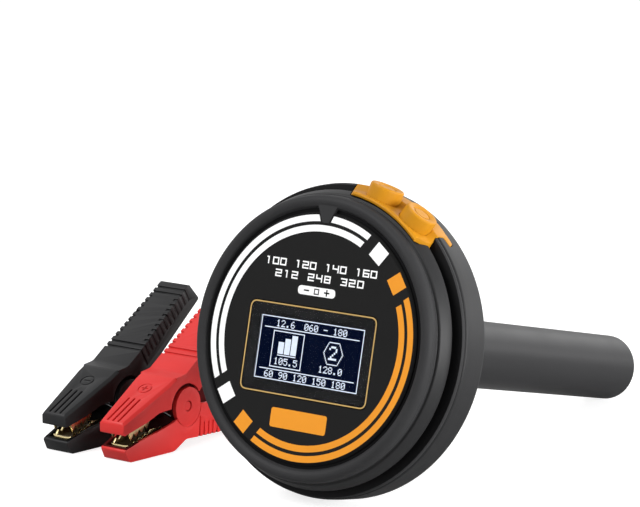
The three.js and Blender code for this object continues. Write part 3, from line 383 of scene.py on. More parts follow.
BLACK = moulded("black_plastic", 0x313132, grain=3200, bump=0.1, specular=0.07)
# Painted shade: near-black for the shade in the groove between the bezel and the band
GROOVE_SHADE = moulded("groove_painted_shade", 0x101011, grain=3200, bump=0.08, specular=0.1)
# Painted shade: near-black for the narrow groove round the printed face
SEAT_SHADE = moulded("seat_painted_shade", 0x0A0A0B, grain=3200, bump=0.08, specular=0.05)
BAND = moulded("band_plastic", 0x202021, bump=0.2, specular=0.22, turned=True)
TUBE = moulded("tube_plastic", 0x2A2A2B, roughness=0.42, specular=0.13)
FILM = moulded("face_film", 0x181818, roughness=0.6, grain=5200, bump=0.05, specular=0.08)
WHITE_INK = moulded("white_ink", 0xFAFAFA, grain=5200, bump=0.04, specular=0.2, tone=0.02)
ORANGE_INK = moulded("orange_ink", 0xE59326, grain=5200, bump=0.04, specular=0.2, tone=0.03)
GOLD_INK = moulded("gold_ink", 0xC2A05E, roughness=0.45, grain=5200, bump=0.04, specular=0.4, tone=0.05)
ORANGE = moulded("orange_plastic", 0xBC8018, roughness=0.45, grain=3000, bump=0.1, specular=0.14, tone=0.04)
RED = moulded("red_plastic", 0xD42D2B, roughness=0.45, grain=2800, bump=0.1, specular=0.32, tone=0.05)
CLAMP_BLACK = moulded("clamp_plastic", 0x1F1F20, roughness=0.45, grain=2800, specular=0.2)
BRASS = moulded("brass", 0xF0DCA6, roughness=0.26, grain=1800, bump=0.1, metallic=1.0, tone=0.1)
# Painted shade: darker brass for the jaw faces inside the hollow
BRASS_SHADE = moulded("brass_painted_shade", 0x6A5730, grain=1800, bump=0.1, metallic=0.7, tone=0.12)
# Darker copies of the clamp plastics: painted shade for the faces inside each clamp's hollow
RED_SHADE = moulded("red_shade", 0x4A0D0E, roughness=0.6, grain=2800, bump=0.1, specular=0.05, tone=0.05)
BLACK_SHADE = moulded("black_shade", 0x0C0C0D, roughness=0.6, grain=2800, bump=0.1, specular=0.05)
DARK_STEEL = moulded("dark_steel", 0x3A3A3C, grain=2200, bump=0.15, metallic=1.0, tone=0.1)
STEEL = moulded("steel", 0xB8BABD, roughness=0.3, grain=2200, bump=0.1, metallic=1.0, tone=0.08)
RUBBER = moulded("rubber", 0x232324, roughness=0.7, grain=2400, bump=0.25)
BOARD = moulded("board", 0x1D5A34, roughness=0.4, grain=1500, bump=0.08, tone=0.12)
GREY = moulded("grey_plastic", 0x8B8F94, grain=2400, bump=0.1)
SCREEN = glowing("screen_navy", 0x040C24, 1.0)
DOTS = glowing("screen_dots", 0xE4EEFA, 1.2)
PANE = clear("window_pane")


def dress(obj, material, body, slot_name, *replaced):
    obj.data.materials.clear()
    obj.data.materials.append(material)
    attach(obj, body)
    if replaced:
        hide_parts(*replaced)
    return obj


def tint(obj, material, depths, radii):
    """Gives the head's faces whose centre lies between two depths and two radii another material."""
    obj.data.materials.append(material)
    back = HEAD.inverted()
    for face in obj.data.polygons:
        c = back @ (face.center / MM)
        if depths[0] < c.y < depths[1] and radii[0] < math.hypot(c.x, c.z) < radii[1]:
            face.material_index = len(obj.data.materials) - 1


# Head shells and keys

GAP = 0.3
FAR = 99
SHELL_SIDES, SADDLE_SIDES, TUBE_SIDES, GLAND_SIDES, SCREW_SIDES = 180, 240, 120, 48, 40
KEY_SIDES = SPACE_SIDES = 96
TAB = [(-3.7, 40.35), (-3.2, 39.3, 0.5), (-2.45, 37.8, 1.0), (-1.2, 34.9, 0.5)]
TAB_DEPTHS, TAB_MARGIN = (-0.12, 1.3), 0.12

# Rectangles about the window: width, height and corner radius, if any, and their depths
WINDOW_MIDDLE = -4.6
OPENING, OPENING_DEPTHS = (43, 24, 0.5), (-4, 6)
FILM_HOLE, FILM_HOLE_DEPTHS = (47.8, 28.1, 2.4), (-3, 3)
WINDOW, WINDOW_DEPTHS = (47.2, 27.5, 2.3), (0, 0.5)
PICTURE, PICTURE_DEPTHS = (38.7, 19.5), (0.8, 0.85)
MODULE, MODULE_DEPTHS = (42.4, 23.4), (0.86, 4)
MODULE_RIM, MODULE_RIM_DEPTHS = (50, 31), (4, 5.2)

# Cutters about each key's axis: radius and two heights over the tube's axis
KEYS = {"left": 73.4, "right": 56.2}
KEY_DEPTH = 9.2
KEY_HOLE = (5.9, 44.2, 56)
STEM_HOLE = (2.3, 38, 46)
SADDLE_HOLE = (5.42, 40, 56)

# Cutters along the tube: radius and two depths
SCREW_CIRCLE, SCREWS = 35.3, (34, 146, 245, 295)
GLAND_PLACE = polar(30, 200)
SCREW_HOLE = (3.3, 20.6, 30)
GLAND_HOLE = (4.3, 16, 30)
FRONT_RECESS = (44.45, 0.5, 10.7)
REAR_RECESSES = (45.6, 10.4, 13.7), (46.7, 10.4, 25)

# The saddle's outline as shares of its depth and its way round, some with a rounding
PANEL_FRONT, PANEL_REAR = 2.8, 18.6
PANEL_RIGHT, PANEL_MIDDLE, PANEL_LEFT = 42.8, 64.0, 89.7
PANEL_RADIUS, PANEL_ROUND = 47, 0.7
PANEL_SPAN = (40, 56)
PANEL_SHARES = [
    (0, 0.829, 2), (0.614, 1, 2), (1, 1, 0.8), (1, 0.26), (0.956, 0.14), (0.949, 0.024), (0.81, 0),
    (0.785, 0.091), (0.52, 0.091, 0.6), (0.456, 0.065, 0.6), (0.329, 0.065, 0.6), (0.095, 0.116), (0, 0.125),
]


def quarter(radius, depth, across, deep, steps=9):
    """Quarter of an ellipse from the foremost point of a ring to its outer side."""
    turns = [0.5 * math.pi * k / steps for k in range(steps + 1)]
    return [(radius + across * math.sin(t), depth - deep * math.cos(t)) for t in turns]


# Profiles: radius, depth and rounding, if any
BEZEL = [
    (0, 0.8), (38.25, 0.8), (38.3, 1.15), (39.3, 1.15), (39.9, 0.1, 0.3), (40.8, -0.42, 0.3),
    *quarter(41.5, 1.7, 1.95, 2.2),
    (43.45, 2.8, 0.4), (43.2, 3.2, 0.25), (43.35, 3.85, 0.3), (44.2, 3.85, 0.5), (45.6, 7.0, 1.6),
    (45.6, 8.4, 0.4), (42.7, 8.4), (42.7, 4.7), (41, 4.7), (41, 2.6), (0, 2.6),
]
REAR_BODY = [
    (40.6, 5), (42.4, 5, 0.2), (42.4, 10.7), (47.5, 10.7), (47.85, 11.1, 0.3), (47.85, 11.85, 0.15),
    (47.45, 12.0), (47.8, 12.2, 0.1), (48.13, 12.55, 0.3), (48.13, 15, 1), (47.85, 22.4, 0.8),
    (47.2, 23.4, 0.6), (46.3, 23.75, 0.6), (17.2, 25.35, 0.6), (15.25, 26.3, 0.8), (15.2, 34.3, 0.8),
    (13, 34.3, 0.2), (13, 31.3), (11.3, 31.3), (11.3, 19), (15.2, 19), (15.2, 22.9, 0.5), (45.9, 21.2, 0.6),
    (45.9, 15.8), (40.6, 15.8),
]
SADDLE = [
    (44.75, 3.4), (45.4, 3.15, 0.15), (45.95, 3.55, 0.25), (46.3, 9.3, 0.9), (47.75, 11.55, 0.5),
    (48.13, 12, 0.5), (48.13, 18.6, 0.3), (47.0, 18.6), (47.0, 13.4), (45.9, 13.4), (45.9, 10.4), (44.75, 10.4),
]
TUBE_BODY = [
    (9.8, 15.6), (11, 15.6), (11, 34.6, 0.2), (13.4, 34.6, 0.2), (13.4, 37, 0.6), (11, 37, 0.3),
    (11, 177.8, 1.05), (9.8, 177.8, 0.3),
]
FACE_FILM = [(0, 0), (37.45, 0), (38.15, 0.78), (0, 0.78)]

# A key's radius about its own axis and its height over the tube's axis
KEY = [
    (0, 41.3), (1.9, 41.3), (1.9, 45.5), (5.3, 45.5, 0.1), (5.3, 50.4, 0.75), (4.0, 50.38, 0.5),
    (3.1, 50.08, 0.2), (2.95, 50.07, 0.06), (2.9, 49.82, 0.06), (2.45, 49.82, 0.06), (2.4, 50.05, 0.06),
    (0, 50.02),
]


def key_bores(radius, low, high):
    return [prism("bore", circle(radius), low, high, rim(angle, KEY_DEPTH)) for angle in KEYS.values()]


def back_hole(x, z, radius, low, high):
    return prism("hole", circle(radius, HOLE, x, z), low, high, FACE)


def panel_plug(margin=0.0):
    """The saddle's outline, pushed through the rim."""
    corners = []
    for depth, turn, *radius in PANEL_SHARES:
        angle = PANEL_RIGHT + (PANEL_LEFT - PANEL_RIGHT) * turn
        offset = PANEL_RADIUS * math.sin(math.radians(angle - PANEL_MIDDLE))
        corners.append((PANEL_FRONT + (PANEL_REAR - PANEL_FRONT) * depth, offset, *radius))
    outline = grown(rounded(corners, PANEL_ROUND), margin)
    return prism("plug", outline, *PANEL_SPAN, rim(PANEL_MIDDLE, 0))


def panel_space(floor, low, high):
    """What the saddle takes out of the shells, down to a floor radius."""
    outside = PANEL_SPAN[1] + 2
    ring = lathe("ring", [(floor, low), (floor, high), (outside, high), (outside, low)], SPACE_SIDES)
    return boolean(panel_plug(GAP), ring, operation="INTERSECT")


def tab_outline(margin=0.0):
    """Small key of the bezel that points down into the face."""
    return grown(rounded(TAB + [(-x, *rest) for x, *rest in TAB[::-1]]), margin)


def window_outline(width, height, radius=0.0, steps=5):
    low, high = WINDOW_MIDDLE - height / 2, WINDOW_MIDDLE + height / 2
    return bar(-width / 2, low, width / 2, high, radius, steps)


def make_front_shell():
    shell = lathe("bezel", rounded(BEZEL), SHELL_SIDES)
    boolean(shell, prism("tab", tab_outline(), *TAB_DEPTHS, FACE), operation="UNION")
    opening = prism("opening", window_outline(*OPENING), *OPENING_DEPTHS, FACE)
    boolean(shell, opening, panel_space(*FRONT_RECESS), *key_bores(*KEY_HOLE), *key_bores(*STEM_HOLE))
    return smooth(shell)


def make_rear_shell():
    shell = lathe("rear_body", rounded(REAR_BODY), SHELL_SIDES)
    holes = [back_hole(*polar(SCREW_CIRCLE, turn), *SCREW_HOLE) for turn in SCREWS]
    boolean(shell, join([*holes, back_hole(*GLAND_PLACE, *GLAND_HOLE)]))
    boolean(shell, *[panel_space(*recess) for recess in REAR_RECESSES])
    boolean(shell, *key_bores(*KEY_HOLE), *key_bores(*STEM_HOLE))
    return smooth(shell)


def make_panel():
    ring = lathe("saddle", rounded(SADDLE), SADDLE_SIDES)
    boolean(ring, panel_plug(), operation="INTERSECT")
    boolean(ring, *key_bores(*SADDLE_HOLE))
    return bevel(ring, EDGE_BEVEL, 3)


def make_key(name, angle):
    upright = rim(angle, KEY_DEPTH) @ Matrix.Rotation(math.pi / 2, 4, "X")
    return smooth(lathe(name, rounded(KEY), KEY_SIDES, upright))


front = dress(make_front_shell(), BLACK, "head", "black_plastic", "front_shell")
tint(front, BAND, (3.7, FAR), (43.3, FAR))
# painted shade in the narrow groove round the printed face
tint(front, SEAT_SHADE, (0.7, 1.2), (-FAR, 39.35))
rear = dress(make_rear_shell(), BAND, "head", "black_plastic", "rear_shell")
# painted shade on the wall and floor of the groove before the band
tint(rear, GROOVE_SHADE, (-FAR, 10.8), (42.3, 47.5))
tint(rear, BLACK, (10.7, 11.95), (47.5, FAR))
dress(make_panel(), ORANGE, "head", "orange_plastic", "button_panel")
for side, key_angle in KEYS.items():
    dress(make_key("key_" + side, key_angle), ORANGE, side + "_key", "orange_plastic", "button_" + side)


# Tube, gland and screws

dress(lathe("tube_body", rounded(TUBE_BODY), TUBE_SIDES), TUBE, "head", "black_plastic", "probe_tube")

GLAND_NECK = [
    (2.3, 19.8), (6, 19.8), (6, 21.4), (4, 21.4), (4, 25.2), (5.6, 25.2, 0.2), (5.6, 26.7, 0.5), (4.5, 27, 0.2),
]
GLAND_RIBS, RIB_RADIUS, RIB_TAPER, RIB_DEPTH = 6, 4.5, 0.16, 0.45
RIB_START, RIB_PITCH, RIB_LENGTH, RIB_SLIT = 27.4, 1.6, 1.1, 0.3
GLAND_TIP = [(3.4, 36.9, 0.2), (2.3, 36.9, 0.1)]


def make_gland():
    points = [*GLAND_NECK]
    for i in range(GLAND_RIBS):
        radius = RIB_RADIUS - RIB_TAPER * i
        start = RIB_START + i * RIB_PITCH
        points += [(radius - RIB_DEPTH, start - RIB_SLIT, 0.1), (radius - RIB_DEPTH, start, 0.1)]
        points += [(radius, start, 0.15), (radius, start + RIB_LENGTH, 0.15)]
    x, z = GLAND_PLACE
    profile = rounded(points + GLAND_TIP, steps=3)
    return lathe("gland_sleeve", profile, GLAND_SIDES, HEAD @ Matrix.Translation((x, 0, z)))


dress(make_gland(), RUBBER, "head", "rubber", "cable_gland")

SCREW = [(0, 4.6), (1.45, 6), (1.45, 20.9), (3, 20.9), (3, 22.6, 0.6), (1.6, 23.3, 0.8), (0, 23.4)]
CROSS_HALF, CROSS_REACH, CROSS_DEPTHS = 0.35, 1.7, (22.1, 24)


def make_screw(index, turn):
    x, z = polar(SCREW_CIRCLE, turn)
    place = HEAD @ Matrix.Translation((x, 0, z))
    screw = lathe(f"screw_{index}", rounded(SCREW, steps=4), SCREW_SIDES, place)
    a, b = CROSS_HALF, CROSS_REACH
    arms = [(a, a), (a, b), (-a, b), (-a, a), (-b, a), (-b, -a)]
    arms += [(-x, -y) for x, y in arms]
    boolean(screw, prism("cross", arms, *CROSS_DEPTHS, place @ BACKWARDS))
    return smooth(screw)


for screw_index, screw_turn in enumerate(SCREWS, 1):
    dress(make_screw(screw_index, screw_turn), STEEL, "head", "steel", f"shell_screw_{screw_index}")


# Printed face: x to the right and y up from its centre, a little proud of the film

PROUD, SUNK = -0.035, 0.12
RING_ARCS = (((32.2, 34.2), 53.9, 34.5), ((35.3, 37.3), 53.4, 35.6))  # radii, start of white, end of orange
WHITE_END, ORANGE_START = 215.8, -125.8
TAB_HALVES = (1.95, 2.75)  # half of the gap for the bezel's tab, at the radii of the outer ring
SLANT = 6.0  # the ends of the rings point past the centre by this much
SQUARES = {"white": (53.3, -144.2), "orange": (34.9, ORANGE_START)}
SQUARE_RADIUS, SQUARE_HALF = 34.8, 2.55


def face_piece(name, outlines, low=PROUD, high=SUNK):
    return join([prism(name, o, low, high, FACE) for o in outlines])


def sector(radii, start, end, steps=90):
    """Part of a ring; its two ends have an angle for the inner and one for the outer radius."""
    inner, outer = [
        [Vector(polar(radius, a + (b - a) * k / steps)) for k in range(steps + 1)]
        for radius, a, b in zip(radii, start, end)
    ]
    return outer + inner[::-1]


def square_at(angle):
    c, s = polar(1, angle)
    r, h = SQUARE_RADIUS, SQUARE_HALF
    corners = ((-h, -h), (h, -h), (h, h), (-h, h))
    return [Vector(((r + u) * c - v * s, (r + u) * s + v * c)) for u, v in corners]


white_arcs, orange_arcs = [], []
for ring_radii, white_start, orange_end in RING_ARCS:
    slants = [math.degrees(math.asin(SLANT / r)) for r in ring_radii]
    first, last = [white_start + s for s in slants], [WHITE_END - s for s in slants]
    if ring_radii == RING_ARCS[0][0]:
        white_arcs.append(sector(ring_radii, first, last))
    else:
        near = [math.degrees(math.acos(half / r)) for half, r in zip(TAB_HALVES, ring_radii)]
        white_arcs.append(sector(ring_radii, first, near, 20))
        white_arcs.append(sector(ring_radii, [180 - a for a in near], last))
    orange_arcs.append(sector(ring_radii, [ORANGE_START + s for s in slants], [orange_end - s for s in slants]))


def make_face():
    disc = lathe("face_film", FACE_FILM, SHELL_SIDES)
    hole = prism("hole", window_outline(*FILM_HOLE), *FILM_HOLE_DEPTHS, FACE)
    return smooth(boolean(disc, hole, prism("notch", tab_outline(TAB_MARGIN), *FILM_HOLE_DEPTHS, FACE)))


dress(make_face(), FILM, "head", "face_print", "face_panel")
for ink_name, ink, arcs in (("white", WHITE_INK, white_arcs), ("orange", ORANGE_INK, orange_arcs)):
    outlines = arcs + [square_at(a) for a in SQUARES[ink_name]]
    dress(face_piece(ink_name + "_rings", outlines), ink, "head", "face_print")


# Plain numbers and bare bars stand where the print has its words and marks

STROKE = 0.43
DIGIT_WIDTH, DIGIT_HEIGHT = 2.35, 2.3
LEFT, RIGHT = STROKE / 2, DIGIT_WIDTH - STROKE / 2
FOOT, WAIST, CROWN = STROKE / 2, DIGIT_HEIGHT / 2, DIGIT_HEIGHT - STROKE / 2
LOOP = [(LEFT, FOOT), (RIGHT, FOOT), (RIGHT, CROWN), (LEFT, CROWN), (LEFT, FOOT)]
BAR_END = (DIGIT_WIDTH - STROKE, WAIST)
PATHS = {
    "0": [LOOP],
    "1": [[(0.55, CROWN), (1.25, CROWN), (1.25, 0)]],
    "2": [[(0, CROWN), (RIGHT, CROWN), (RIGHT, WAIST), (LEFT, WAIST), (LEFT, FOOT), (DIGIT_WIDTH, FOOT)]],
    "3": [[(0, CROWN), (RIGHT, CROWN), (RIGHT, FOOT), (0, FOOT)], [(0.6, WAIST), BAR_END]],
    "4": [[(LEFT, DIGIT_HEIGHT), (LEFT, WAIST), (RIGHT - LEFT, WAIST)], [(RIGHT, DIGIT_HEIGHT), (RIGHT, 0)]],
    "6": [[(DIGIT_WIDTH, CROWN), (LEFT, CROWN), (LEFT, FOOT), (RIGHT, FOOT), (RIGHT, WAIST), (STROKE, WAIST)]],
    "8": [LOOP, [(STROKE, WAIST), BAR_END]],
}
ROWS = (("100 120 140 160", -20.4, 21.2, 20.5), ("212 248 320", -16, 16.9, 17.0))  # text, left, right, foot
PILL = (-6.75, 12.75, 7.1, 15.45, 1.3, 6)  # left, foot, right, top, radius, steps
SIGNS = [  # minus, then the three bars of the plus
    (-4.6, 13.87, -2.6, 14.33),
    (2.95, 13.87, 4.95, 14.33), (3.72, 14.33, 4.18, 15.1), (3.72, 13.1, 4.18, 13.87),
]
SIGN_DEPTHS = (PROUD - 0.03, 0)
PLAIN_BAR = (-10.4, -28.1, 10.4, -22.2, 0.9)
PILL_DIGIT_SIZE, PILL_DIGIT_PLACE = 0.8, Vector((-0.75, 13.15))


def stroke_quads(path):
    """Flat band of even width along a path with square corners, closed where the path is."""
    points = [Vector(p) for p in path]
    closed = (points[0] - points[-1]).length < TINY
    if closed:
        points = points[:-1]
    count = len(points)
    sides = []
    for i, p in enumerate(points):
        before = points[i - 1] if closed or i > 0 else None
        after = points[(i + 1) % count] if closed or i < count - 1 else None
        came = (p - before).normalized() if before is not None else (after - p).normalized()
        goes = (after - p).normalized() if after is not None else came
        normal = Vector((-(came.y + goes.y), came.x + goes.x)).normalized()
        reach = STROKE / 2 / max(0.5, abs(normal.x * goes.y - normal.y * goes.x))
        sides.append((p + normal * reach, p - normal * reach))
    quads = [(sides[i], sides[(i + 1) % count]) for i in range(count if closed else count - 1)]
    return [[a[0], b[0], b[1], a[1]] for a, b in quads]


def digits_row(text, x0, x1, y):
    """Numbers spread evenly from x0 to x1 with their feet at y."""
    pitch = (x1 - x0 - DIGIT_WIDTH) / (len(text) - 1)
    return [
        [Vector((x0 + k * pitch + p.x, y + p.y)) for p in quad]
        for k, letter in enumerate(text) for path in PATHS.get(letter, []) for quad in stroke_quads(path)
    ]


number_rows = [quad for row in ROWS for quad in digits_row(*row)]
dress(face_piece("number_rows", number_rows), WHITE_INK, "head", "face_print")
dress(face_piece("pill", [bar(*PILL)]), WHITE_INK, "head", "face_print")
signs = [bar(*sign) for sign in SIGNS]
signs += [[p * PILL_DIGIT_SIZE + PILL_DIGIT_PLACE for p in quad] for quad in stroke_quads(LOOP)]
dress(face_piece("pill_signs", signs, *SIGN_DEPTHS), FILM, "head", "face_print")
dress(face_piece("plain_bar", [bar(*PLAIN_BAR)]), ORANGE_INK, "head", "face_print")


# Window and screen


def window_line(name, width, height, radius, line, low, high):
    """Closed line of even width round the window."""
    outer = window_outline(width, height, radius, 8)
    inner = window_outline(width - 2 * line, height - 2 * line, max(radius - line, 0.01), 8)
    return between(name, outer, inner, low, high, FACE)


gold = window_line("gold_line", width=47.15, height=27.45, radius=2.4, line=0.38, low=-0.03, high=0.05)
dress(gold, GOLD_INK, "head", "face_print")
pane = smooth(prism("window_pane", window_outline(*WINDOW), *WINDOW_DEPTHS, FACE))
dress(pane, PANE, "head", "window", "display_window")
mask = window_line("window_mask", width=47.1, height=27.4, radius=2.3, line=4.1, low=0.52, high=0.6)
dress(mask, FILM, "head", "face_print")

# Dots of the screen, counted from its upper left corner
COLUMNS, LINES, DOT, DOT_DEPTH = 128, 64, 0.30, 0.78
DIGITS = {
    "0": "01110 10001 10011 10101 11001 10001 01110", "1": "00100 01100 00100 00100 00100 00100 01110",
    "2": "01110 10001 00001 00010 00100 01000 11111", "5": "11111 10000 11110 00001 00001 10001 01110",
    "6": "00110 01000 10000 11110 10001 10001 01110", "8": "01110 10001 10001 01110 10001 10001 01110",
    "9": "01110 10001 10001 01111 00001 00010 01100", ".": "00000 00000 00000 00000 00000 01100 01100",
    "-": "00000 00000 00000 11111 00000 00000 00000",
}
DIGIT_PITCH = 6
TEXTS = (  # text, column, row and size
    ("12.6", 19, 3, 1), ("060 - 180", 54, 3, 1), ("60 90 120 150 180", 12, 55, 1), ("105.5", 22, 41, 1),
    ("2", 88, 21, 2), ("128.0", 78, 42, 1),
)
LEVEL_LINES = (5, 122, 11), (5, 122, 53), (25, 47, 38)
BOXES = (0, 0, COLUMNS - 1, LINES - 1), (17, 14, 55, 50)
BAR_TOPS, BAR_FOOT, BAR_LEFT, BAR_THICK, BAR_PITCH = (25, 21, 17), 36, 25, 7, 8
HEX_MIDDLE, HEX_TOP, HEX_HALF, HEX_SIDE = 93, 17, 11, 6
lit = set()


def write(text, column, row, size):
    """Digits whose dots each take size by size dots."""
    for k, letter in enumerate(text):
        for j, line in enumerate(DIGITS.get(letter, "").split()):
            for i, bit in enumerate(line):
                if bit == "1":
                    x, y = column + DIGIT_PITCH * k + size * i, row + size * j
                    lit.update((x + u, y + v) for u in range(size) for v in range(size))


def line_h(x0, x1, y):
    lit.update((x, y) for x in range(x0, x1 + 1))


def line_v(x, y0, y1):
    lit.update((x, y) for y in range(y0, y1 + 1))


for screen_text in TEXTS:
    write(*screen_text)
for level_line in LEVEL_LINES:
    line_h(*level_line)
for box_left, box_top, box_right, box_foot in BOXES:
    for box_y in (box_top, box_foot):
        line_h(box_left, box_right, box_y)
    for box_x in (box_left, box_right):
        line_v(box_x, box_top, box_foot)
for bar_index, bar_top in enumerate(BAR_TOPS):
    for bar_x in range(BAR_THICK):
        line_v(BAR_LEFT + bar_index * BAR_PITCH + bar_x, bar_top, BAR_FOOT)
for hex_y in range(2 * HEX_HALF + 1):
    hex_reach = HEX_SIDE + round(HEX_SIDE * (1 - abs(hex_y - HEX_HALF) / HEX_HALF))
    if hex_y in (0, 2 * HEX_HALF):
        line_h(HEX_MIDDLE - hex_reach, HEX_MIDDLE + hex_reach, HEX_TOP + hex_y)
    else:
        lit.update((HEX_MIDDLE + hex_side * hex_reach, HEX_TOP + hex_y) for hex_side in (-1, 1))


def make_dots():
    points, faces = [], []
    left, top = -COLUMNS / 2 * DOT, WINDOW_MIDDLE + LINES / 2 * DOT
    for x, y in sorted(lit):
        u, v = left + x * DOT, top - y * DOT
        n = len(points)
        points += [(*p, DOT_DEPTH) for p in ((u, v), (u + DOT, v), (u + DOT, v - DOT), (u, v - DOT))]
        faces.append([n, n + 1, n + 2, n + 3])
    return build("screen_dots", points, faces, FACE)


module = join([
    prism("screen_module", window_outline(*MODULE), *MODULE_DEPTHS, FACE),
    prism("module_rim", window_outline(*MODULE_RIM), *MODULE_RIM_DEPTHS, FACE),
])
dress(module, GREY, "head", "grey_plastic", "display_module")
picture = prism("screen_picture", window_outline(*PICTURE), *PICTURE_DEPTHS, FACE)
dress(picture, SCREEN, "head", "window")
dress(make_dots(), DOTS, "head", "window")


# Clamps: x across, y from the tip back, z up from the floor

LENGTH, HEIGHT, WIDTH, WALL = 68.2, 46.2, 15.2, 1.0
TIP_WIDTH, END_WIDTH = 9.9, 11.2
WIDE_FROM, WIDE_TO = 0.3 * LENGTH, 0.505 * LENGTH
OUTER_ROUND = 0.9
PIVOT = Vector((29.5, 13.6))
PIN_HOLE = 1.8
OVERRUN = 6
LOOK = 0.25  # how far off a face the hollow is looked for

# Side views as shares of the clamp's length and height
UPPER = [
    (0, 0.193), (0, 0.286), (0.343, 0.519), (0.416, 0.53), (0.5, 0.607), (0.915, 1), (1, 0.874),
    (0.565, 0.431), (0.525, 0.387), (0.4326, 0.2944), (0.299, 0.3095), (0.227, 0.301), (0.15, 0.254),
]
UPPER_HOLLOW = [
    (0.027, 0.08), (0.027, 0.251), (0.315, 0.446), (0.35, 0.479), (0.425, 0.49), (0.911, 0.95),
    (0.99, 0.833), (0.59, 0.26),
]
LOWER = [
    (0.003, 0.09), (0.035, 0), (0.328, 0), (0.415, 0.061), (0.933, 0), (0.988, 0.143), (0.6, 0.275),
    (0.531, 0.29), (0.306, 0.2035), (0.229, 0.174), (0.103, 0.133),
]
LOWER_HOLLOW = [
    (-0.02, 0.42), (-0.02, 0.1), (0.032, 0.1), (0.032, 0.089), (0.038, 0.076), (0.32, 0.076), (0.41, 0.1),
    (0.916, 0.041), (0.971, 0.178), (0.971, 0.42),
]
WEB = [(23.9, 13.6), (35.1, 13.6), (40.6, 13.4), (40.6, 20.6), (35.1, 27.6), (29, 23.64), (23.9, 23.1)]
UPPER_EAR_RADIUS, LOWER_EAR_RADIUS, LOWER_EAR_SIDES = 5.9, 6.3, 72
UPPER_EAR, LOWER_EAR = (4.4, 5.8), (6.1, 7.6)
POCKET_RADIUS, POCKET_SHIFT, POCKET = 7.7, 0.9, (5.8, 16)
EAR_GROOVE_RADIUS, EAR_GROOVE_LINE, EAR_GROOVE = 7.0, 0.55, (7.3, 9)
LEAD_HOLE, LEAD_HEIGHT, LEAD_SPAN, LEAD_SIDES = 1.8, 3.9, (60, 75), 32

# Slots and grooves of the finger grips, along the handle from GRIP_START
GRIP_START, GRIP_COUNT, GRIP_PITCH, GRIP_SLOT = 34.6, 13, 2.45, 1
GRIP_HEIGHT, FIRST_HEIGHT, GRIP_DEPTH, GRIP_EDGE = 4.6, 6.8, 0.5, 1.9
FULL_GROOVES = (0, 1, 11, 12)

# Lines and mark on the sloping top, seen from its front edge
LINE_PLACES, LINE_HALF, LINE_ENDS, LINE_DEPTH = (-2.2, 0, 2.2), 0.4, (0.6, 12.9), 0.6
MARK_PLACE, MARK_RADIUS, MARK_LINE, MARK_SIDES = 18.5, 2.55, 0.45, 48
MARK_DEPTHS = (-0.25, 3)
SIGN_REACH, SIGN_HALF = 1.3, 0.25
EDGE = 0.8
EDGE_STATIONS = [(-2, 4.71), (0, 4.95), (22.5, 7.6), (25.9, 7.6)]

# Jaws: brass channels whose edges carry the teeth, in side view as places along and heights
JAW_HALF, JAW_INNER_HALF, JAW_START, JAW_END = 3.95, 3.2, 2.8, 20.3
TOOTH_START, TOOTH_PITCH, TOOTH_PLACES = 4.8, 1.35, 8
TOOTH_DEPTHS, TOOTH_GAP = {1: 1.9, -1: 1.0}, 0.35
TOOTH_MIDDLE, TOOTH_SLOPE = 6.05, 0.28
TUB, TUB_HEIGHTS = (JAW_HALF, JAW_START, JAW_END, 2.4), (3.8, 9)
TUB_INNER, TUB_INNER_HEIGHTS = (JAW_INNER_HALF, 3.5, 21, 1.7), (4.55, 10)
TUB_TIP, TUB_REAR = [(2, 3), (2, 5.2), (3.9, 5.2)], [(15.6, 8.3), (21, 8.3), (21, 3)]
RIVET_HOLE, RIVET_PLACE, RIVET_HEIGHTS, RIVET_SIDES = 1.25, 17.5, (3, 5), 24
ROOF_HEIGHT, ROOF_START, ROOF_SLOPE, ROOF_WALL = 11.3, 1.84, 0.46, 0.8
ROOF_TIP, ROOF_REAR = [(JAW_START, 9.2), (3.9, 8.9)], [(15.6, 15.3), (JAW_END, 15.3)]
ROOF_INNER_ENDS = (1, 22)
# Side views of the hollows inside the jaws, whose faces get painted shade
TUB_SHADE, ROOF_SHADE = (3.5, 4.5, 22, 12), (2.8, 5, 22, 19)


def from_shares(shares):
    return [Vector((a * LENGTH, b * HEIGHT)) for a, b in shares]


def both_sides(span):
    """A span of x, to the right and to the left."""
    return span, (-span[1], -span[0])


def half_width(along, wall=0.0):
    growing = TIP_WIDTH + (WIDTH - TIP_WIDTH) * along / WIDE_FROM
    falling = WIDTH - (WIDTH - END_WIDTH) * (along - WIDE_TO) / (LENGTH - WIDE_TO)
    return min(growing, falling, WIDTH) / 2 - wall


def plan(place, wall):
    right = [Vector((half_width(a, wall), a)) for a in (0, WIDE_FROM, WIDE_TO, LENGTH)]
    left = [Vector((-p.x, p.y)) for p in right[::-1]]
    return prism("plan", right + left, -OVERRUN, HEIGHT + OVERRUN, Matrix.Translation(place))


def across(name, outline, place, low=-WIDTH, high=WIDTH):
    """Side view pushed across the clamp."""
    return prism(name, outline, low, high, Matrix.Translation(place) @ SIDEWAYS)


def channel(name, outline, hollow, place):
    outer = across(name, rounded(from_shares(outline), OUTER_ROUND, 4), place)
    boolean(outer, plan(place, 0), operation="INTERSECT")
    inner = across("hollow", from_shares(hollow), place)
    boolean(inner, plan(place, WALL), operation="INTERSECT")
    return boolean(outer, inner)


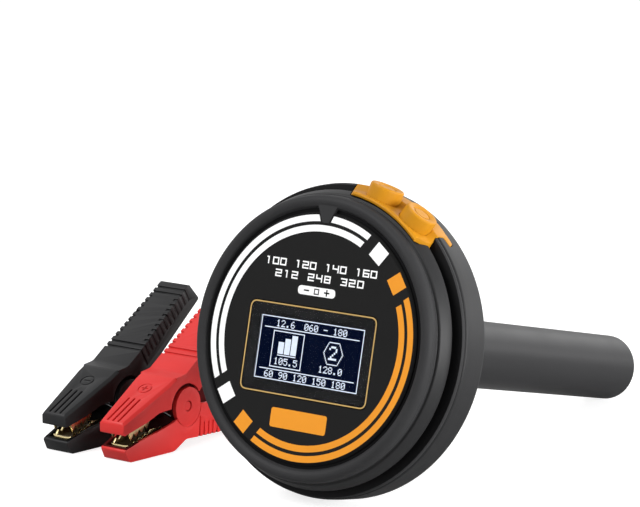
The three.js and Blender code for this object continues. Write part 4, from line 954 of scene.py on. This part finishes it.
def grip_tools(start, end, place):
    """Slots in a handle's sides and grooves over its edge, all the way across near the grip's ends."""
    direction = (end - start).normalized()
    inward = Vector((direction.y, -direction.x)) * (1 if start.y > PIVOT.y else -1)
    first = (GRIP_START - start.x) / direction.x

    def outline(at, high):
        ends = ((at, -OVERRUN), (at + GRIP_SLOT, -OVERRUN), (at + GRIP_SLOT, high), (at, high))
        return [start + direction * u + inward * v for u, v in ends]

    tools = []
    for i in range(GRIP_COUNT):
        at = first + i * GRIP_PITCH
        slot = outline(at, FIRST_HEIGHT if i == 0 else GRIP_HEIGHT)
        half = half_width(slot[0].x, GRIP_DEPTH)
        tools += [across("slot", slot, place, *span) for span in both_sides((half, half + OVERRUN))]
        edge = half_width(slot[0].x) - GRIP_EDGE
        spans = [(-WIDTH, WIDTH)] if i in FULL_GROOVES else both_sides((edge, WIDTH))[::-1]
        tools += [across("groove", outline(at, GRIP_DEPTH), place, *span) for span in spans]
    return join(tools)


def top_frame(place):
    start, end = [Vector(p) for p in from_shares(UPPER)[1:3]]
    angle = math.atan2(end.y - start.y, end.x - start.x)
    front_edge = Matrix.Translation(place) @ Matrix.Translation((0, start.x, start.y))
    return front_edge @ Matrix.Rotation(angle, 4, "X")


def slanted_edge(matrix, sign):
    """Cutter for the long edge between the sloping top and one side."""
    points, faces = [], []
    for along, half in EDGE_STATIONS:
        points += [(sign * (half - EDGE - 1), along, 1), (sign * (half + 1), along, -EDGE - 1)]
        points.append((sign * (half + 3), along, 1))
    last = len(points) - 3
    for i in range(0, last, 3):
        faces += [[i, i + 1, i + 4, i + 3], [i + 1, i + 2, i + 5, i + 4], [i + 2, i, i + 3, i + 5]]
    faces += [[0, 2, 1], [last, last + 1, last + 2]]
    return build("edge", points, faces, matrix)


def inside(point, polygon):
    crossed = False
    for a, b in zip(polygon, polygon[1:] + polygon[:1]):
        if (a.y > point.y) != (b.y > point.y):
            crossed ^= point.x < a.x + (b.x - a.x) * (point.y - a.y) / (b.y - a.y)
    return crossed


def shade(obj, material, place, side, half):
    """Painted shade: a darker tone for the faces that look into the hollow between the walls."""
    obj.data.materials.append(material)
    for face in obj.data.polygons:
        look = face.center / MM - place + Vector(face.normal) * LOOK
        if abs(look.x) < half(look.y) and inside(Vector((look.y, look.z)), side):
            face.material_index = 1


def make_upper(name, place):
    shell = channel(name, UPPER, UPPER_HOLLOW, place)
    outline = from_shares(UPPER)
    pocket = circle(POCKET_RADIUS, ROUND, PIVOT.x - POCKET_SHIFT, PIVOT.y)
    boolean(shell, join([across("pocket", pocket, place, *span) for span in both_sides(POCKET)]))
    boolean(shell, grip_tools(outline[4], outline[5], place), overlapping=True)
    matrix = top_frame(place)
    lines = [bar(x - LINE_HALF, LINE_ENDS[0], x + LINE_HALF, LINE_ENDS[1], 0.2, 3) for x in LINE_PLACES]
    boolean(shell, join([prism("line", line, -LINE_DEPTH, OVERRUN, matrix) for line in lines]))
    middle = matrix @ Matrix.Translation((0, MARK_PLACE, 0))
    minus = bar(-SIGN_REACH, MARK_PLACE - SIGN_HALF, SIGN_REACH, MARK_PLACE + SIGN_HALF)
    mark = [annulus("mark", MARK_RADIUS, MARK_LINE, *MARK_DEPTHS, middle, MARK_SIDES)]
    mark.append(prism("sign", minus, *MARK_DEPTHS, matrix))
    boolean(shell, join(mark), overlapping=True)
    if name.startswith("red"):
        upright = bar(-SIGN_HALF, MARK_PLACE - SIGN_REACH, SIGN_HALF, MARK_PLACE + SIGN_REACH)
        boolean(shell, prism("sign", upright, *MARK_DEPTHS, matrix))
    boolean(shell, *[slanted_edge(matrix, sign) for sign in (1, -1)])
    disc = circle(UPPER_EAR_RADIUS, ROUND, *PIVOT)
    ears = [
        boolean(across("ear", disc, place, *span), across("web", WEB, place, *span), operation="UNION")
        for span in both_sides(UPPER_EAR)
    ]
    boolean(shell, *ears, operation="UNION")
    boolean(shell, across("bore", circle(PIN_HOLE, HOLE, *PIVOT), place))
    return bevel(shell, EDGE_BEVEL)


def make_lower(name, place):
    shell = channel(name, LOWER, LOWER_HOLLOW, place)
    outline = from_shares(LOWER)
    disc = circle(LOWER_EAR_RADIUS, LOWER_EAR_SIDES, *PIVOT)
    boolean(shell, *[across("ear", disc, place, *span) for span in both_sides(LOWER_EAR)], operation="UNION")
    boolean(shell, across("bore", circle(PIN_HOLE, HOLE, *PIVOT), place))
    middle = Matrix.Translation(place) @ Matrix.Translation((0, *PIVOT)) @ SIDEWAYS
    for span in both_sides(EAR_GROOVE):
        boolean(shell, annulus("groove", EAR_GROOVE_RADIUS, EAR_GROOVE_LINE, *span, middle, ROUND))
    boolean(shell, grip_tools(outline[3], outline[4], place), overlapping=True)
    outlet = circle(LEAD_HOLE, LEAD_SIDES, 0, LEAD_HEIGHT)
    boolean(shell, prism("outlet", outlet, *LEAD_SPAN, Matrix.Translation(place) @ BACKWARDS))
    return bevel(shell, EDGE_BEVEL)


def saw_edge(side):
    """Tooth places between the jaws: side is 1 for the upper jaw and -1 for the lower."""
    points = []
    for i in range(TOOTH_PLACES):
        along = TOOTH_START + TOOTH_PITCH * i
        middle = TOOTH_MIDDLE + TOOTH_SLOPE * (along - TOOTH_START)
        at_tip = (i % 2 == 0) == (side > 0)
        points.append((along, middle + side * (TOOTH_GAP + (0 if at_tip else TOOTH_DEPTHS[side]))))
    return points


def make_lower_jaw(name, place):
    def tub(half, front, rear, radius):
        return rounded([(-half, rear), (-half, front, radius), (half, front, radius), (half, rear)], steps=7)

    floor = Matrix.Translation(place)
    jaw = prism(name, tub(*TUB), *TUB_HEIGHTS, floor)
    boolean(jaw, prism("inner", tub(*TUB_INNER), *TUB_INNER_HEIGHTS, floor))
    boolean(jaw, across("side", TUB_TIP + saw_edge(-1) + TUB_REAR, place), operation="INTERSECT")
    boolean(jaw, prism("bore", circle(RIVET_HOLE, RIVET_SIDES, 0, RIVET_PLACE), *RIVET_HEIGHTS, floor))
    return bevel(jaw, JAW_BEVEL)


def make_upper_jaw(name, place):
    def top(along, drop=0.0):
        return along, ROOF_HEIGHT + ROOF_SLOPE * (along - ROOF_START) - drop

    side = [top(JAW_START), *ROOF_TIP, *saw_edge(1), *ROOF_REAR, top(JAW_END)]
    jaw = across(name, side, place, -JAW_HALF, JAW_HALF)
    front, rear = ROOF_INNER_ENDS
    inner = [top(front, ROOF_WALL), (front, 0), (rear, 0), top(rear, ROOF_WALL)]
    boolean(jaw, across("inner", inner, place, -JAW_INNER_HALF, JAW_INNER_HALF))
    return bevel(jaw, JAW_BEVEL)


PLASTICS = {"red": (RED, RED_SHADE, "red_plastic"), "black": (CLAMP_BLACK, BLACK_SHADE, "clamp_black")}
CLAMP_PIECES = (  # maker, piece, what it replaces, its body, side view of its hollow
    (make_upper, "_upper_grip", "_upper_shell", "_clamp_top", from_shares(UPPER_HOLLOW)),
    (make_lower, "_lower_grip", "_lower_shell", "_clamp", from_shares(LOWER_HOLLOW)),
    (make_lower_jaw, "_lower_teeth", "_lower_jaw", "_clamp", bar(*TUB_SHADE)),
    (make_upper_jaw, "_upper_teeth", "_upper_jaw", "_clamp_top", bar(*ROOF_SHADE)),
)
for clamp_name, clamp_place in CLAMPS.items():
    plastic, dark, plastic_slot = PLASTICS[clamp_name]
    for make, piece, replaced, body, hollow in CLAMP_PIECES:
        obj = make(clamp_name + piece, clamp_place)
        if piece.endswith("grip"):
            dress(obj, plastic, clamp_name + body, plastic_slot, clamp_name + replaced)
            # painted shade on the faces inside the hollow
            shade(obj, dark, clamp_place, hollow, lambda along: half_width(along, WALL))
        else:
            dress(obj, BRASS, clamp_name + body, "brass", clamp_name + replaced)
            # painted shade on the jaw faces inside the hollow
            shade(obj, BRASS_SHADE, clamp_place, hollow, lambda along: JAW_INNER_HALF)


# CAD pieces that keep their own shape get their material here

KEPT_SMOOTH = 35
KEPT = {
    "display_gasket": RUBBER, "main_board": BOARD, "button_board": BOARD, "tact_switch_left": GREY,
    "tact_switch_right": GREY, "shell_gasket": RUBBER, "tube_seal": RUBBER, "tube_nut": STEEL,
    "probe_holder": GREY, "heater_rod": STEEL, "temp_sensor": STEEL, "probe_leads": RUBBER,
    "terminal_block": GREY, "buzzer": CLAMP_BLACK, "heater_switch": CLAMP_BLACK,
}
for clamp_name, plastics in PLASTICS.items():
    own = {"lower_rivet": STEEL, "upper_rivet": STEEL, "spring": DARK_STEEL, "pivot_pin": plastics[0]}
    KEPT |= {f"{clamp_name}_{part}": own_material for part, own_material in own.items()}
for kept_name, kept_material in KEPT.items():
    kept = nodes[kept_name]
    kept.data.materials.clear()
    kept.data.materials.append(kept_material)
    smooth(kept, KEPT_SMOOTH)


# Stage, light and camera; places in metres

CAMERA_PLACE = (0.55807, -0.78574, 0.24969)
CAMERA_RIGHT = (0.80284, 0.5962, -0.00099)
CAMERA_BACK = (0.58528, -0.78782, 0.19179)
FOCAL_PIXELS, PICTURE_PIXELS, SENSOR = 3000, 640, 36
FLOOR_REACH, FLOOR_DROP, FLOOR_GLOW = 6, 0.0002, 0.78
DOME = {"From Min": -0.3, "To Min": 0.12, "To Max": 0.5}  # by height, from -1 to 1
SOFTBOXES = (  # name, place, target, size, watts
    ("key", (-0.45, -0.75, 0.95), (0.0, 0, 0.04), (0.7, 0.7), 13),
    ("right", (1.05, -0.05, 0.22), (-0.02, -0.03, 0.03), (0.7, 0.36), 15),
    ("back", (0.75, 1.0, 0.2), (0.05, 0, 0.06), (0.5, 0.36), 3),
    ("behind", (0.05, 1.2, 0.45), (0.05, 0, 0.06), (0.7, 0.4), 2),
)


def stage_floor():
    """Grey floor that looks white straight from the camera."""
    mesh = bpy.data.meshes.new("floor")
    r = FLOOR_REACH
    mesh.from_pydata([(-r, -r, 0), (r, -r, 0), (r, r, 0), (-r, r, 0)], [], [[0, 1, 2, 3]])
    floor = link_new("floor", mesh)
    floor.location.z = -FLOOR_DROP
    material, tree, shader = new_material("floor")
    settle(shader, {
        "Base Color": (0.5, 0.5, 0.5, 1), "Roughness": 0.9, "Specular IOR Level": 0.0,
        "Emission Color": (1, 1, 1, 1),
    })
    path = node(tree, "ShaderNodeLightPath")
    glow = node(tree, "ShaderNodeMath", operation="MULTIPLY")
    glow.inputs[1].default_value = FLOOR_GLOW
    wire(tree, path.outputs["Is Camera Ray"], glow.inputs[0])
    wire(tree, glow.outputs[0], shader.inputs["Emission Strength"])
    mesh.materials.append(material)


def world_light():
    """White for what looks straight past the object, and a softer dome, darker below, for its light."""
    world = bpy.data.worlds.new("studio")
    bpy.context.scene.world = world
    world.use_nodes = True
    tree = world.node_tree
    background = tree.nodes["Background"]
    settle(background, {"Color": (1, 1, 1, 1)})
    path = node(tree, "ShaderNodeLightPath").outputs
    mirrored = node(tree, "ShaderNodeMath", operation="MAXIMUM")
    seen = node(tree, "ShaderNodeMath", operation="MAXIMUM")
    place = node(tree, "ShaderNodeTexCoord")
    split = node(tree, "ShaderNodeSeparateXYZ")
    dome = node(tree, "ShaderNodeMapRange")
    settle(dome, DOME)
    strength = node(tree, "ShaderNodeMix", data_type="FLOAT")
    strength.inputs[3].default_value = 1.0
    wire(
        tree,
        path["Is Glossy Ray"], mirrored.inputs[0],
        path["Is Transmission Ray"], mirrored.inputs[1],
        path["Is Camera Ray"], seen.inputs[0],
        mirrored.outputs[0], seen.inputs[1],
        place.outputs["Generated"], split.inputs[0],
        split.outputs["Z"], dome.inputs["Value"],
        seen.outputs[0], strength.inputs[0],
        dome.outputs[0], strength.inputs[2],
        strength.outputs[0], background.inputs["Strength"],
    )


def softbox(name, location, target, size, power):
    data = bpy.data.lights.new(name, "AREA")
    data.shape = "RECTANGLE"
    data.size, data.size_y = size
    data.energy = power
    lamp = link_new(name, data)
    lamp.location = location
    lamp.rotation_mode = "QUATERNION"
    lamp.rotation_quaternion = (Vector(target) - Vector(location)).to_track_quat("-Z", "Y")


def make_camera():
    data = bpy.data.cameras.new("camera")
    data.sensor_fit = "HORIZONTAL"
    data.sensor_width = SENSOR
    data.lens = FOCAL_PIXELS / PICTURE_PIXELS * SENSOR
    data.clip_start, data.clip_end = 0.05, 20
    camera = link_new("camera", data)
    back = Vector(CAMERA_BACK).normalized()
    up = back.cross(Vector(CAMERA_RIGHT).normalized()).normalized()
    camera.matrix_world = basis(up.cross(back), up, back, CAMERA_PLACE)
    bpy.context.scene.camera = camera


stage_floor()
world_light()
for softbox_sizes in SOFTBOXES:
    softbox(*softbox_sizes)
make_camera()
bpy.context.scene.view_settings.view_transform = "Standard"
